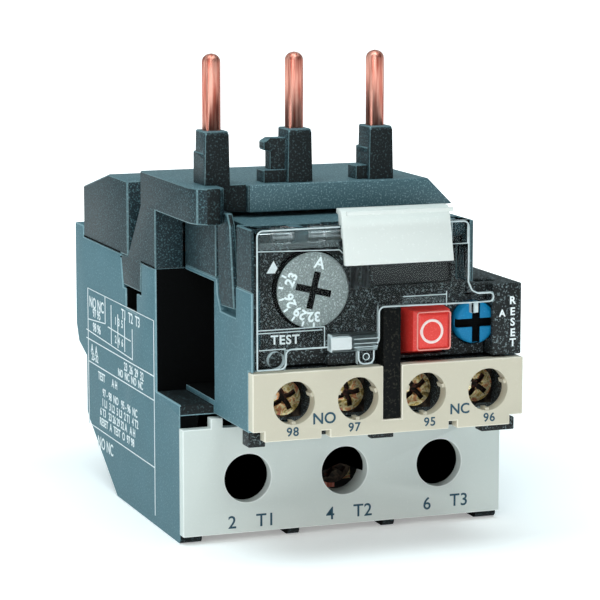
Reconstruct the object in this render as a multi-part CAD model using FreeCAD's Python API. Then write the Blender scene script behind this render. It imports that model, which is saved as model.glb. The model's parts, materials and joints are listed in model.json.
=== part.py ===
"""Thermal overload relay with three plug-in pins, built as separate mouldings and metal parts.

X runs across the poles, Y runs back from the operating face and Z points up.
While modelling, Y = 0 is the face of the control terminals; every solid is moved
by half the depth when it is written, so that the origin is under the middle.
"""
import FreeCAD, Part
import math
import os

V = FreeCAD.Vector

# overall sizes
body_width = 55.0
module_width = 45.0
body_depth = 81.5
marker_reach = 2.2
top_z = 57.9
pin_top_z = 78.2
wall = 2.0
module_wall = 1.6
rebate_y = 3.5
rebate_skin = 0.4
fit_gap = 0.3
running_gap = 0.05

# heights of the lower housing
ledge_z = 22.6
seam_z = 42.7
rear_lip_z = 44.7
floor_thickness = 2.0
bar_slot_z = 35.5
snap_drop = 5.5

# depths, measured back from the control terminals' face
fin_front_y = 20.8
step_y = 33.4
cheek_back_y = 41.3
partition_y = 45.0
rear_cover_y = 49.0
toe_reach = 6.1
rear_gap = 0.4
chine_z = 10.5
chine_depth = 18.8
toe_z = 21.5

# poles and main terminals
pole_margin = 2.6
divider = 2.0
access_r = 3.94
access_z = 10.3
plate_y = 19.3
plate_thickness = 2.0
plate_bottom_z = 1.4
plate_top_z = 18.8
guide_wall = 0.8
guide_length = 4.6
screw_r = 2.2
screw_head_r = 3.4
screw_head_y = 24.6
screw_head_height = 2.4
bar_thickness = 1.5
bar_width = 8.0
bar_y = 34.4
bar_high_z = 24.0
cage_wall = 1.5
cage_width = 12.0
cage_height = 9.0
cage_y = 32.3
wire_room = 5.7

# bimetals and trip bars
bimetal_thickness = 1.0
bimetal_width = 6.0
bimetal_y = 57.0
bimetal_foot_z = 13.0
bimetal_top_z = 40.0
heater_gap = 1.45
heater_thickness = 0.5
trip_travel = 2.4
trip_bar_z = 36.6
trip_bar_thickness = 1.4
push_gap = 0.25
hold_gap = 0.6

# plug-in pins and their posts
pin_r = 1.45
shank_half = 1.1
pin_chamfer = 0.7
pin_pitch = 13.7
pin_inset = 18.7
pin_y = 19.2
lead_z = 53.8
lead_thickness = 1.4
lead_width = 4.0
lead_low_z = 44.6
post_top_z = 66.3
post_front_y = 16.2
post_width = 4.2
post_depth = 6.2

# upper and rear covers
chamfer_x = 12.4
chamfer_width = 4.6
shoulder_z = 48.0
band_y = 15.0
band_bottom_z = 53.6
tongue_y = 8.8
tongue_low_z = 39.2
skirt_z = 52.2
corner_y = 12.3
rear_top_z = 55.4
rear_shoulder_z = 50.0

# control module
module_front_y = 0.5
module_top_z = 52.8
module_split_z = 43.2
module_floor_z = 21.4
upper_right_x = 14.0
reset_top_z = 42.5
channel_y = 18.4
channel_x = 17.0
fascia_y = 3.6
fascia_thickness = 1.6
fascia_bottom_z = 31.2
fascia_top_z = 50.0
slot_x0 = -1.15
slot_x1 = 1.95
pillar_top_z = 39.8

# control terminals
shroud_bottom_z = 20.2
shroud_top_z = 30.85
shroud_thickness = 2.2
well_r = 3.36
well_z = 26.0
well_x = (-15.8, -5.3, 6.0, 16.5)
tip_x = (-13.1, -8.0, 8.7, 13.8)
notch_x = (-10.6, 10.6)
strip_half = 0.8
strip_thickness = 0.9
strip_z = 24.5
small_screw_r = 1.5
small_head_r = 2.85
small_head_y = 4.4
small_head_height = 1.8
washer_side = 6.8
plate_half = 3.5
pocket_half = 3.7
washer_thickness = 1.0
terminal_y = 11.6
terminal_thickness = 1.2

# clear cover and its hinge
cover_thickness = 1.2
cover_left_x = -21.9
cover_right_x = 13.2
cover_rise = 0.1
cover_waist_z = 40.2
cover_bottom_z = 34.2
lug_bottom_z = 31.2
hinge_y = 2.6
hinge_drop = 1.5
hinge_r = 0.6
knuckle_r = 1.2
knuckle_width = 2.4
lug_width = 2.0
marker_left_x = -8.3
marker_right_x = 9.6
marker_bottom_z = 47.0

# setting dial and compensator
dial_x = -12.0
dial_z = 42.95
dial_r = 5.85
dial_y = 1.9
dial_thickness = 1.5
dial_shaft_r = 1.6
dial_turn = 115.0
cam_low_r = 3.0
cam_rise = 1.2
cam_y = 6.6
cam_thickness = 1.8
compensator_x = -6.6
compensator_z = 48.6
compensator_low_z = 36.0
stud_r = 0.8

# buttons
stop_x = 6.9
stop_z = 35.65
stop_width = 7.2
stop_height = 7.5
stop_y = 0.6
knob_x = 15.2
knob_z = 36.4
knob_r = 3.35
knob_y = 1.9
reset_edge_x = 17.6
reset_front_y = 0.9
flange_y = 5.4
flange_thickness = 1.1
stem_half = 1.0
rib_y = 12.4
rib_thickness = 1.2
spring_wire_r = 0.25
test_x = -18.6
test_z = 32.75
test_r = 0.9
test_guide_y = 8.6

# contacts and trip lever
carrier_y = 17.6
carrier_z = 29.0
contact_travel = 1.5
bridge_y = 17.1
bridge_thickness = 0.8
tip_r = 0.8
tip_z = 26.8
lever_x = 11.0
lever_y = 39.5
lever_z = 38.6
lever_thickness = 1.6
lever_front = 15.5
peg_r = 1.0

half_body = body_width / 2
half_module = module_width / 2
back_wall_y = body_depth - toe_reach
cover_top_z = module_top_z + cover_rise
hinge_z = cover_top_z - hinge_drop
pole_pitch = (body_width - 2 * pole_margin) / 3
block_back_y = terminal_y + terminal_thickness + 2.2
lever_rear = bimetal_y - bimetal_width / 2 - 4.5 - lever_y
origin_y = (body_depth - marker_reach) / 2
pole_x = [pole_pitch * i for i in (-1, 0, 1)]
pin_xs = [pin_inset - half_body + pin_pitch * i for i in (-1, 0, 1)]
chamber_half = (pole_pitch - divider) / 2


def box(x0, x1, y0, y1, z0, z1):
    return Part.makeBox(x1 - x0, y1 - y0, z1 - z0, V(x0, y0, z0))


def rod(x, y, z, radius, length, axis):
    return Part.makeCylinder(radius, length, V(x, y, z), axis)


def ring(x, y, radius):
    """Corners of a twelve-sided outline, for shanks and holes that stay out of sight."""
    turns = [math.pi * i / 6 for i in range(12)]
    return [(x + radius * math.cos(a), y + radius * math.sin(a)) for a in turns]


def shank_bar(x, z, radius, y0, y1):
    return prism_y(ring(x, z, radius), y0, y1)


def shank_hole(x, z, radius, y0, y1):
    """Hole that clears a shank of this radius however it is turned."""
    return prism_y(ring(x, z, (radius + running_gap) / math.cos(math.pi / 12)), y0, y1)


def face_of(points):
    closed = points + points[:1]
    return Part.Face(Part.makePolygon(closed))


def prism_x(profile, x0, x1):
    """Outline of (y, z) points, run across from x0 to x1."""
    return face_of([V(x0, y, z) for y, z in profile]).extrude(V(x1 - x0, 0, 0))


def prism_y(profile, y0, y1):
    """Outline of (x, z) points, run back from y0 to y1."""
    return face_of([V(x, y0, z) for x, z in profile]).extrude(V(0, y1 - y0, 0))


def prism_z(profile, z0, z1):
    """Outline of (x, y) points, run up from z0 to z1."""
    return face_of([V(x, y, z0) for x, y in profile]).extrude(V(0, 0, z1 - z0))


def join(shapes):
    solid = shapes[0].fuse(shapes[1:]) if len(shapes) > 1 else shapes[0]
    return solid.removeSplitter()


def write(name, shape):
    moved = shape.copy()
    moved.translate(V(0, -origin_y, 0))
    moved.exportStep("parts/" + name + ".step")


def edges_along(shape, axis, test):
    """Straight edges parallel to an axis whose middle passes a test."""
    picked = []
    for edge in shape.Edges:
        if not isinstance(edge.Curve, Part.Line):
            continue
        if abs(edge.Curve.Direction.dot(axis)) < 0.999:
            continue
        if test(edge.CenterOfMass):
            picked.append(edge)
    return picked


# lower housing -------------------------------------------------------------

def lower_outline():
    back = back_wall_y - rear_gap
    return [
        (fin_front_y, 0), (back_wall_y - chine_depth, 0), (back - 1.1, chine_z), (back, chine_z + 1.1),
        (back, toe_z), (body_depth - 1.5, toe_z + 1.9), (body_depth, toe_z + 5.0), (body_depth, rear_lip_z),
        (back_wall_y + 2 * rear_gap, rear_lip_z), (back_wall_y + 2 * rear_gap, seam_z),
        (step_y, seam_z), (step_y, ledge_z), (fin_front_y, ledge_z),
    ]


def inner_outline():
    inner_back = back_wall_y - rear_gap - wall
    front = partition_y + wall
    return [
        (step_y + wall, ledge_z), (front, ledge_z), (front, floor_thickness),
        (back_wall_y - chine_depth - 0.6, floor_thickness), (inner_back - 0.8, chine_z + 1.3),
        (inner_back, chine_z + 2.3), (inner_back, toe_z + 1.4), (body_depth - 2.9, toe_z + 3.7),
        (body_depth - wall, toe_z + 5.8), (body_depth - wall, seam_z - wall / 2),
        (inner_back + 1.0, seam_z - wall / 2), (inner_back + 1.0, seam_z + wall), (step_y + wall, seam_z + wall),
    ]


def lower_housing():
    solid = prism_x(lower_outline(), -half_body, half_body)
    solid = solid.cut(box(-half_body, half_body, fin_front_y, plate_y + plate_thickness,
                          plate_bottom_z, shroud_bottom_z + 0.6))
    outer_x = half_body - wall
    spans = [(-outer_x, pole_x[0] + chamber_half), (pole_x[1] - chamber_half, pole_x[1] + chamber_half),
             (pole_x[2] - chamber_half, outer_x)]
    for x0, x1 in spans:
        solid = solid.cut(prism_x(inner_outline(), x0, x1))
    for x in pole_x:
        solid = solid.cut(box(x - chamber_half, x + chamber_half, fin_front_y - 1, partition_y, -1, ledge_z - wall))
        solid = solid.cut(box(x - bar_width / 2 - fit_gap, x + bar_width / 2 + fit_gap,
                              bar_y - fit_gap, bar_y + bar_thickness + fit_gap, ledge_z - wall - 1,
                              bar_high_z + bar_thickness + fit_gap))
    # the trip bars cross the dividers, and the lever leaves through the front wall
    solid = solid.cut(box(-outer_x, outer_x, partition_y + wall, bimetal_y + 7.0, bar_slot_z, seam_z + wall))
    solid = solid.cut(box(lever_x - 6, lever_x + 4, step_y - 1, partition_y, lever_z - 0.8, seam_z + wall))
    boss = box(lever_x - peg_r - 0.6, lever_x + peg_r + 0.6, lever_y - peg_r - 0.6, lever_y + peg_r + 0.6,
               ledge_z, lever_z - 2.4)
    solid = solid.fuse(boss)
    solid = solid.cut(rod(lever_x, lever_y, ledge_z + 4, peg_r, 20, V(0, 0, 1)))
    # snap windows for the covers' tabs, with the release slots under them
    for side in (-1, 1):
        x0, x1 = sorted((side * (half_body + 1), side * (half_body - wall - 1)))
        low = seam_z - snap_drop
        solid = solid.cut(prism_x([(cheek_back_y - 0.6, seam_z + 1), (rear_cover_y + 4.3, seam_z + 1),
                                   (rear_cover_y + 2.9, low), (cheek_back_y + 0.1, low)], x0, x1))
        solid = solid.cut(box(x0, x1, cheek_back_y + 2.7, rear_cover_y + 1.2, low - 3.4, low + 0.2))
    return round_fins(solid)


def round_fins(solid):
    """Rounds the front feet of the four barrier walls."""
    def at_foot(point):
        return abs(point.y - fin_front_y) < 0.01 and point.z < 0.01
    feet = edges_along(solid, V(1, 0, 0), at_foot)
    return solid.makeFillet(1.0, feet)


# covers on top -------------------------------------------------------------

def upper_section(inset):
    """Cross-section of the upper cover, seen from the front, set in by a wall."""
    left = -half_body + inset
    right = half_body - inset
    edge_x = chamfer_x + chamfer_width - inset
    lean = inset * math.tan(math.radians(22.5))
    return [
        (left, seam_z - inset), (left, top_z - inset), (chamfer_x - lean, top_z - inset),
        (edge_x, top_z - chamfer_width - lean), (edge_x, shoulder_z - inset),
        (right, shoulder_z - inset), (right, seam_z - inset),
    ]


def overhang_plan(bottom, top):
    step = half_body - half_module
    pocket_x = pin_xs[0] + post_width / 2 + 2.5
    points = [
        (-half_body, step_y + wall), (-half_body, corner_y + 3.4), (-half_body + 0.14 * step, corner_y + 1.2),
        (-half_body + 0.44 * step, corner_y), (-half_module - 0.2 * step, corner_y), (-half_module, corner_y + 0.9),
        (-half_module, post_front_y), (pocket_x, post_front_y), (pocket_x, band_y),
        (chamfer_x + chamfer_width, band_y), (chamfer_x + chamfer_width, step_y + wall),
    ]
    return prism_z(points, bottom, top)


def post(x):
    """One insulating post round a plug-in pin, with a taller front and a stepped back."""
    half = post_width / 2
    profile = [(x - half, top_z - 0.5), (x + half, top_z - 0.5), (x + half - 0.2, post_top_z), (x - half + 0.2, post_top_z)]
    front = prism_y(profile, post_front_y, post_front_y + post_depth - 1.0)
    back = box(x - half + 0.1, x + half - 0.1, post_front_y + 1, post_front_y + post_depth, top_z - 0.5, post_top_z - 3.4)
    shape = front.fuse(back)

    def at_top(point):
        return abs(point.z - post_top_z) < 0.01 and abs(point.y - post_front_y) < 0.01
    return shape.makeChamfer(0.5, edges_along(shape, V(1, 0, 0), at_top))


def hook(x):
    """Catch beside the middle post that holds the relay to the contactor."""
    left = x - post_width / 2
    y0 = post_front_y + 1.8
    y1 = post_front_y + 4.4
    top = post_top_z - 1.5
    arm = box(left - 2.3, left + 0.2, y0, y1, top_z - 0.5, top)
    barb = prism_y([(left - 2.2, top), (left - 3.3, top - 0.5), (left - 3.3, top - 1.8), (left - 2.2, top - 2.2)], y0, y1)
    block = box(left - 3.6, left + 0.2, y0 - 0.8, y1 + 0.4, top_z - 0.5, top_z + 2.0)
    return arm.fuse([barb, block])


def upper_cover():
    outer = prism_y(upper_section(0), step_y, cheek_back_y)
    overhang = overhang_plan(band_bottom_z, top_z).common(prism_y(upper_section(0), corner_y, step_y + wall))
    skirt = overhang_plan(skirt_z, band_bottom_z).common(box(-half_body, -half_module - fit_gap, corner_y, step_y + wall,
                                                            skirt_z, band_bottom_z))
    solid = outer.fuse([overhang, skirt])
    solid = solid.cut(prism_y(upper_section(wall), step_y - 0.1, cheek_back_y - wall))
    cavity = prism_y(upper_section(wall), post_front_y + 1.2, step_y + 1)
    solid = solid.cut(cavity.common(box(-half_body, half_body, 0, step_y + 1, skirt_z - 1, top_z)))
    solid = solid.cut(box(-half_body + wall, half_body - wall, cheek_back_y - wall - 0.1, cheek_back_y + 1,
                          seam_z - 1, shoulder_z - wall))
    # front wall of the wide part stands on the lower housing beside the control module
    front = prism_y(upper_section(0), step_y, step_y + wall)
    opening = box(-half_module - 0.1, half_body - wall, step_y - 1, step_y + wall + 1, seam_z - 1, module_top_z + 3.0)
    solid = solid.fuse(front.cut(opening))
    shelf = box(-half_body + wall, half_body - wall, cheek_back_y - 0.5, rear_cover_y, shoulder_z - wall, shoulder_z - 0.4)
    flares = []
    for side in (-1, 1):
        top = rear_top_z - 3.2 if side < 0 else shoulder_z
        low = seam_z - snap_drop + 0.5
        x0, x1 = sorted((side * half_body, side * (half_body - wall)))
        flares.append(prism_x([(cheek_back_y - 0.5, seam_z), (rear_cover_y - 0.2, seam_z), (cheek_back_y, top),
                               (cheek_back_y - 0.5, top)], x0, x1))
        flares.append(prism_x([(cheek_back_y - 0.1, seam_z + 0.5), (rear_cover_y - 0.7, seam_z + 0.5),
                               (rear_cover_y - 0.3, seam_z), (rear_cover_y + 3.7, seam_z - 0.1),
                               (rear_cover_y + 2.5, low), (cheek_back_y + 0.6, low)], x0, x1))
    solid = solid.fuse([shelf] + flares)
    solid = solid.fuse([post(x) for x in pin_xs] + [hook(pin_xs[1]), foot_block(pin_xs[2]), latch_tongue()])
    reach = shank_half + running_gap
    for x in pin_xs:
        solid = solid.cut(box(x - reach, x + reach, pin_y - reach, pin_y + reach, lead_z, post_top_z + 1))
    return solid.removeSplitter()


def foot_block(x):
    left = x - post_width / 2
    return box(left - 1.8, left + 0.2, post_front_y + 1.0, post_front_y + 4.8, top_z - 0.5, top_z + 2.2)


def latch_tongue():
    """Spring tongue that reaches down the left side of the control module."""
    y = tongue_y
    root = band_bottom_z + 0.4
    outline = [(y + 1.9, skirt_z), (y + 3.2, root), (y + 8.0, root), (y + 7.3, tongue_low_z + 1.8),
               (y + 5.9, tongue_low_z), (y, tongue_low_z + 0.3)]
    return prism_x(outline, -half_module, -half_module + 1.0)


def rear_outline(inset):
    back = back_wall_y + rear_gap - inset
    return [(rear_cover_y + inset, seam_z - inset), (back, seam_z - inset), (back, rear_top_z - 3.6 - inset * 0.8),
            (rear_cover_y + 11.1 - inset * 0.1, rear_top_z - inset), (rear_cover_y + inset, rear_top_z - inset)]


def rear_section(inset):
    lean = inset * 0.4
    return [(-half_body + inset, seam_z - inset), (-half_body + inset, rear_top_z - inset),
            (chamfer_x + 1.6 - lean, rear_top_z - inset), (chamfer_x + 7.0 - lean, rear_shoulder_z - inset),
            (half_body - inset, rear_shoulder_z - inset), (half_body - inset, seam_z - inset)]


def rear_cover():
    reach = (rear_cover_y - 1, body_depth)
    outer = prism_x(rear_outline(0), -half_body, half_body).common(prism_y(rear_section(0), *reach))
    inner = prism_x(rear_outline(wall), -half_body, half_body).common(prism_y(rear_section(wall), *reach))
    solid = outer.cut(inner)
    return solid.cut(box(-half_body + wall, half_body - wall, rear_cover_y - 1, rear_cover_y + wall + 0.1,
                         seam_z - 1, shoulder_z - 0.3))


# main terminals --------------------------------------------------------------

def main_terminal_shroud():
    """Front plate with a short square guide behind each screwdriver hole."""
    y0 = plate_y
    back = plate_y + plate_thickness
    plate = box(-half_body, half_body, y0, back, plate_bottom_z, plate_top_z)
    reach = access_r + guide_wall
    guides = [box(x - reach, x + reach, back - 0.5, y0 + guide_length, access_z - reach, access_z + reach)
              for x in pole_x]
    tab = box(-half_module - 0.3, -half_module + 1.7, y0, back, plate_top_z - 0.5, plate_top_z + 1.6)
    solid = join([plate, tab] + guides)
    for x in pole_x:
        solid = solid.cut(rod(x, y0 - 1, access_z, access_r, guide_length + 2, V(0, 1, 0)))
    return solid


def cross_slot(x, y, z, reach, width, depth, tilt):
    arms = []
    for turn in (0, 90):
        arm = box(-reach, reach, y - 1, y + depth, -width / 2, width / 2)
        arm.rotate(V(0, 0, 0), V(0, 1, 0), turn + tilt)
        arms.append(arm)
    slot = arms[0].fuse(arms[1])
    slot.translate(V(x, 0, z))
    return slot


def terminal_screw(x):
    head = rod(x, screw_head_y, access_z, screw_head_r, screw_head_height, V(0, 1, 0))
    shank = shank_bar(x, access_z, screw_r, screw_head_y + 1, bar_y - 0.15)
    solid = head.fuse(shank)
    return solid.cut(cross_slot(x, screw_head_y, access_z, 2.4, 0.9, 1.3, 45))


def terminal_cage(x):
    half = cage_width / 2
    length = bar_y + bar_thickness + wire_room + cage_wall - cage_y
    outer = box(x - half, x + half, cage_y, cage_y + length, access_z - cage_height / 2, access_z + cage_height / 2)
    inner = box(x - half + cage_wall, x + half - cage_wall, cage_y + cage_wall, cage_y + length - cage_wall,
                access_z - cage_height, access_z + cage_height)
    solid = outer.cut(inner)
    return solid.cut(shank_hole(x, access_z, screw_r, cage_y - 1, cage_y + cage_wall + 1))


def load_bar(x):
    """Conductor from the main terminal over the partition and down to the bimetal's foot."""
    x0 = x - bar_width / 2
    x1 = x + bar_width / 2
    high_z = bar_high_z
    down_y = partition_y + 4.0
    foot = bimetal_foot_z
    pieces = [
        box(x0, x1, bar_y, bar_y + bar_thickness, access_z - 6.3, high_z + bar_thickness),
        box(x0, x1, bar_y, down_y + bar_thickness, high_z, high_z + bar_thickness),
        box(x0, x1, down_y, down_y + bar_thickness, foot - bar_thickness, high_z + bar_thickness),
        box(x0, x1, down_y, bimetal_y + bimetal_width / 2, foot - bar_thickness, foot),
    ]
    grip = bimetal_thickness / 2 + fit_gap
    for side in (-1, 1):
        a, b = sorted((side * grip, side * (grip + 1.0)))
        pieces.append(box(x + a, x + b, bimetal_y - 2.0, bimetal_y + bimetal_width / 2, foot - 0.5, foot + 1.5))
    return join(pieces)


def bimetal(x):
    half = bimetal_thickness / 2
    low = bimetal_foot_z + 0.15
    blade = box(x - half, x + half, bimetal_y - bimetal_width / 2, bimetal_y + bimetal_width / 2, low, bimetal_top_z)
    return blade


def heater(x):
    """Zigzag heater strip beside the bimetal, from the load bar up to the pin's lead."""
    x0 = x - bimetal_thickness / 2 - heater_gap - heater_thickness
    track = 1.3
    gap = 0.9
    front_y = bimetal_y - 3.5
    back_y = bimetal_y + 3.5
    rows = 9
    first_z = bimetal_foot_z + 2.2
    pieces = [box(x0, x0 + heater_thickness, front_y, front_y + 2, bimetal_foot_z, first_z + track)]
    for row in range(rows):
        z = first_z + row * (track + gap)
        pieces.append(box(x0, x0 + heater_thickness, front_y, back_y, z, z + track))
        if row == rows - 1:
            continue
        link_y = back_y - track if row % 2 == 0 else front_y
        pieces.append(box(x0, x0 + heater_thickness, link_y, link_y + track, z, z + track + gap + 0.1))
    top_z_row = first_z + (rows - 1) * (track + gap)
    pieces.append(box(x0, x0 + heater_thickness, front_y, front_y + 2, top_z_row, lead_low_z))
    return join(pieces)


def pin_lead(pin_at, x):
    """Copper pin with the strap that carries its current back and down to the heater."""
    strap_x = x - bimetal_thickness / 2 - heater_gap - heater_thickness / 2
    drop_x = min(strap_x, chamfer_x - 2.4)
    down_y = step_y + 3.2
    back_y = down_y + lead_thickness
    shoulder = post_top_z + 0.1
    shank = box(pin_at - shank_half, pin_at + shank_half, pin_y - shank_half, pin_y + shank_half, lead_z, shoulder)
    shaft = rod(pin_at, pin_y, shoulder, pin_r, pin_top_z - pin_chamfer - shoulder, V(0, 0, 1))
    tip = Part.makeCone(pin_r, pin_r - pin_chamfer, pin_chamfer, V(pin_at, pin_y, pin_top_z - pin_chamfer), V(0, 0, 1))
    half = lead_width / 2
    run = prism_z([(pin_at - half, pin_y - 1.5), (pin_at + half, pin_y - 1.5), (pin_at + half, pin_y + 2),
                   (drop_x + half, down_y - 3), (drop_x + half, back_y), (drop_x - half, back_y),
                   (drop_x - half, down_y - 3), (pin_at - half, pin_y + 2)], lead_z, lead_z + lead_thickness)
    drop = box(drop_x - half, drop_x + half, down_y, back_y, lead_low_z, lead_z + lead_thickness)
    turn_y = bimetal_y - 9.0
    low = prism_z([(drop_x - half, down_y), (drop_x + half, down_y), (drop_x + half, back_y),
                   (strap_x + half, turn_y), (strap_x + half, bimetal_y - 1.5),
                   (strap_x - half, bimetal_y - 1.5), (strap_x - half, turn_y), (drop_x - half, back_y)],
                  lead_low_z, lead_low_z + lead_thickness)
    return join([shank, shaft, tip, run, drop, low])


# trip bars and lever ---------------------------------------------------------

def trip_bar(side):
    """Bar across the poles with one finger beside each bimetal; side is -1 in front and 1 behind."""
    edge = bimetal_width / 2 + 0.8
    y0, y1 = sorted((bimetal_y + side * edge, bimetal_y + side * (edge + 2.6)))
    z1 = trip_bar_z + trip_bar_thickness
    pieces = [box(-half_body + wall + 3.4, half_body - wall - 3.4, y0, y1, trip_bar_z, z1)]
    for x in pole_x:
        if side < 0:
            f0 = x + bimetal_thickness / 2 + push_gap
        else:
            f0 = x - bimetal_thickness / 2 - hold_gap - 1.4
        fy0, fy1 = sorted((bimetal_y + side * 0.8, bimetal_y + side * (edge + 0.5)))
        pieces.append(box(f0, f0 + 1.4, fy0, fy1, trip_bar_z, z1))
    solid = join(pieces)
    if side < 0:
        notch = peg_r + fit_gap
        solid = solid.fuse(box(lever_x - 3.2, lever_x + 3.2, lever_y + lever_rear - 1.6, y1, trip_bar_z, z1))
        solid = solid.cut(box(lever_x - notch, lever_x + notch, lever_y + lever_rear - 2, lever_y + lever_rear + 1.7,
                              trip_bar_z - 1, z1 + 1))
    return solid.removeSplitter()


def trip_lever():
    z0 = lever_z
    front = lever_y - lever_front
    rear = lever_y + lever_rear
    arm = box(lever_x - peg_r, lever_x + peg_r, front - peg_r, rear + peg_r, z0, z0 + lever_thickness)
    hub = rod(lever_x, lever_y, z0, 2.2, lever_thickness, V(0, 0, 1))
    pegs = [prism_z(ring(lever_x, y, peg_r), trip_bar_z - 0.3, z0 + 0.7) for y in (front, rear)]
    solid = join([arm, hub] + pegs)
    return solid.cut(rod(lever_x, lever_y, z0 - 1, peg_r + running_gap, 5, V(0, 0, 1)))


def lever_pivot_pin():
    return rod(lever_x, lever_y, ledge_z + 4.2, peg_r, lever_z + lever_thickness + 1.0 - ledge_z - 4.2, V(0, 0, 1))


# control module shells -------------------------------------------------------

def control_housing():
    tail_y = channel_y + 0.6
    side = [(shroud_thickness, module_floor_z), (tail_y, module_floor_z), (tail_y, ledge_z), (step_y - fit_gap, ledge_z),
            (step_y - fit_gap, module_split_z), (module_front_y, module_split_z), (module_front_y, shroud_top_z + 0.1),
            (shroud_thickness, shroud_top_z + 0.1)]
    solid = prism_x(side, -half_module, half_module)
    inner = half_module - module_wall
    top = module_split_z + 1
    solid = solid.cut(box(-inner, inner, -1, channel_y - 1.6, ledge_z + 1.6, top))
    solid = solid.cut(box(-channel_x + 1.6, inner, channel_y - 2, step_y - fit_gap - 1.6, ledge_z + 1.6, top))
    solid = solid.cut(box(-inner, inner, -1, block_back_y + fit_gap, module_floor_z - 1, ledge_z + 2))
    solid = solid.cut(box(-half_module - 1, -channel_x, channel_y, step_y, ledge_z + 1.0, module_split_z - 0.7))
    solid = solid.cut(box(upper_right_x, half_module + 1, -1, step_y, reset_top_z - 1.6, top))
    solid = solid.cut(box(half_module - module_wall - 0.1, half_module + 1, -1, fascia_y + fascia_thickness + 0.1,
                          shroud_top_z, top))
    solid = solid.cut(front_rebate(shroud_top_z, top))
    # recess for the cover's latch tongue
    y = tongue_y
    low = tongue_low_z - 0.9
    solid = solid.cut(prism_x([(y - 0.9, top), (y + 8.6, top), (y + 8.0, low + 2.3), (y + 6.4, low), (y - 0.9, low)],
                              -half_module - 1, -half_module + 1.3))
    # window for the trip lever and a rib that guides both stems
    solid = solid.cut(box(lever_x - 7, lever_x + 2.4, step_y - 4, step_y, trip_bar_z - 0.8, lever_z + 2.8))
    rib = box(2.4, inner + 0.2, rib_y, rib_y + rib_thickness, stop_z - 3.2, stop_z + 4.2)
    solid = solid.fuse(rib)
    reach = stem_half + running_gap
    for x, z in ((stop_x, stop_z), (knob_x, knob_z)):
        solid = solid.cut(box(x - reach, x + reach, rib_y - 1, rib_y + rib_thickness + 1, z - reach, z + reach))
    guide = box(-inner - 0.2, test_x + 2.2, test_guide_y, test_guide_y + 1.2, test_z - 1.4, test_z + 2.2)
    solid = solid.fuse(guide)
    solid = solid.cut(rod(test_x, test_guide_y - 1, test_z, test_r + running_gap, 4, V(0, 1, 0)))
    return solid.removeSplitter()


def front_rebate(z0, z1):
    """Rebate behind the clear cover's edge that leaves a thin skin outside it."""
    return box(-half_module + rebate_skin, cover_right_x + 0.2, -1, rebate_y, z0, z1)


def control_frame():
    """Upper rim of the control module that carries the cover's hinge."""
    left = -half_module
    right = upper_right_x
    solid = box(left, right, module_front_y, step_y - fit_gap, module_split_z, module_top_z)
    solid = solid.cut(box(left + module_wall, right - 1.6, -1, step_y - fit_gap - 1.6, module_split_z - 1,
                          module_top_z - 1.6))
    front_top = hinge_y + 3.4
    solid = solid.cut(box(left + module_wall, right - 1.6, -1, front_top, module_split_z - 1, module_top_z + 1))
    solid = solid.cut(box(marker_left_x - 0.9, marker_right_x + 1.0, -1, front_top + 1.4, module_top_z - 3.2,
                          module_top_z + 1))
    solid = solid.cut(front_rebate(module_split_z - 1, module_top_z + 1))
    # room for the cover's top corner as it swings over the hinge
    sweep_r = math.hypot(hinge_y, cover_top_z - hinge_z) + running_gap
    solid = solid.cut(rod(left + rebate_skin, hinge_y, hinge_z, sweep_r, cover_right_x + 0.2 - left - rebate_skin,
                          V(1, 0, 0)))
    # left side: front pillar, gap for the tongue, rear panel
    solid = solid.cut(box(left - 1, left + module_wall + 0.1, tongue_y - 1.3, tongue_y + 8.8, module_split_z - 1,
                          module_top_z + 1))
    for x in hinge_lugs():
        lug = box(x, x + lug_width, hinge_y, front_top + 0.5, hinge_z - knuckle_r, hinge_z + knuckle_r)
        solid = solid.fuse(lug.fuse(rod(x, hinge_y, hinge_z, knuckle_r, lug_width, V(1, 0, 0))))
    for x in hinge_lugs():
        solid = solid.cut(rod(x - 1, hinge_y, hinge_z, hinge_r, 4, V(1, 0, 0)))
    return solid.removeSplitter()


def hinge_lugs():
    return (marker_left_x - 6.7, marker_right_x + 1.2)


def hinge_knuckles():
    lug = hinge_lugs()[0]
    return (lug - knuckle_width - 0.8, lug + lug_width + 0.4)


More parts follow.
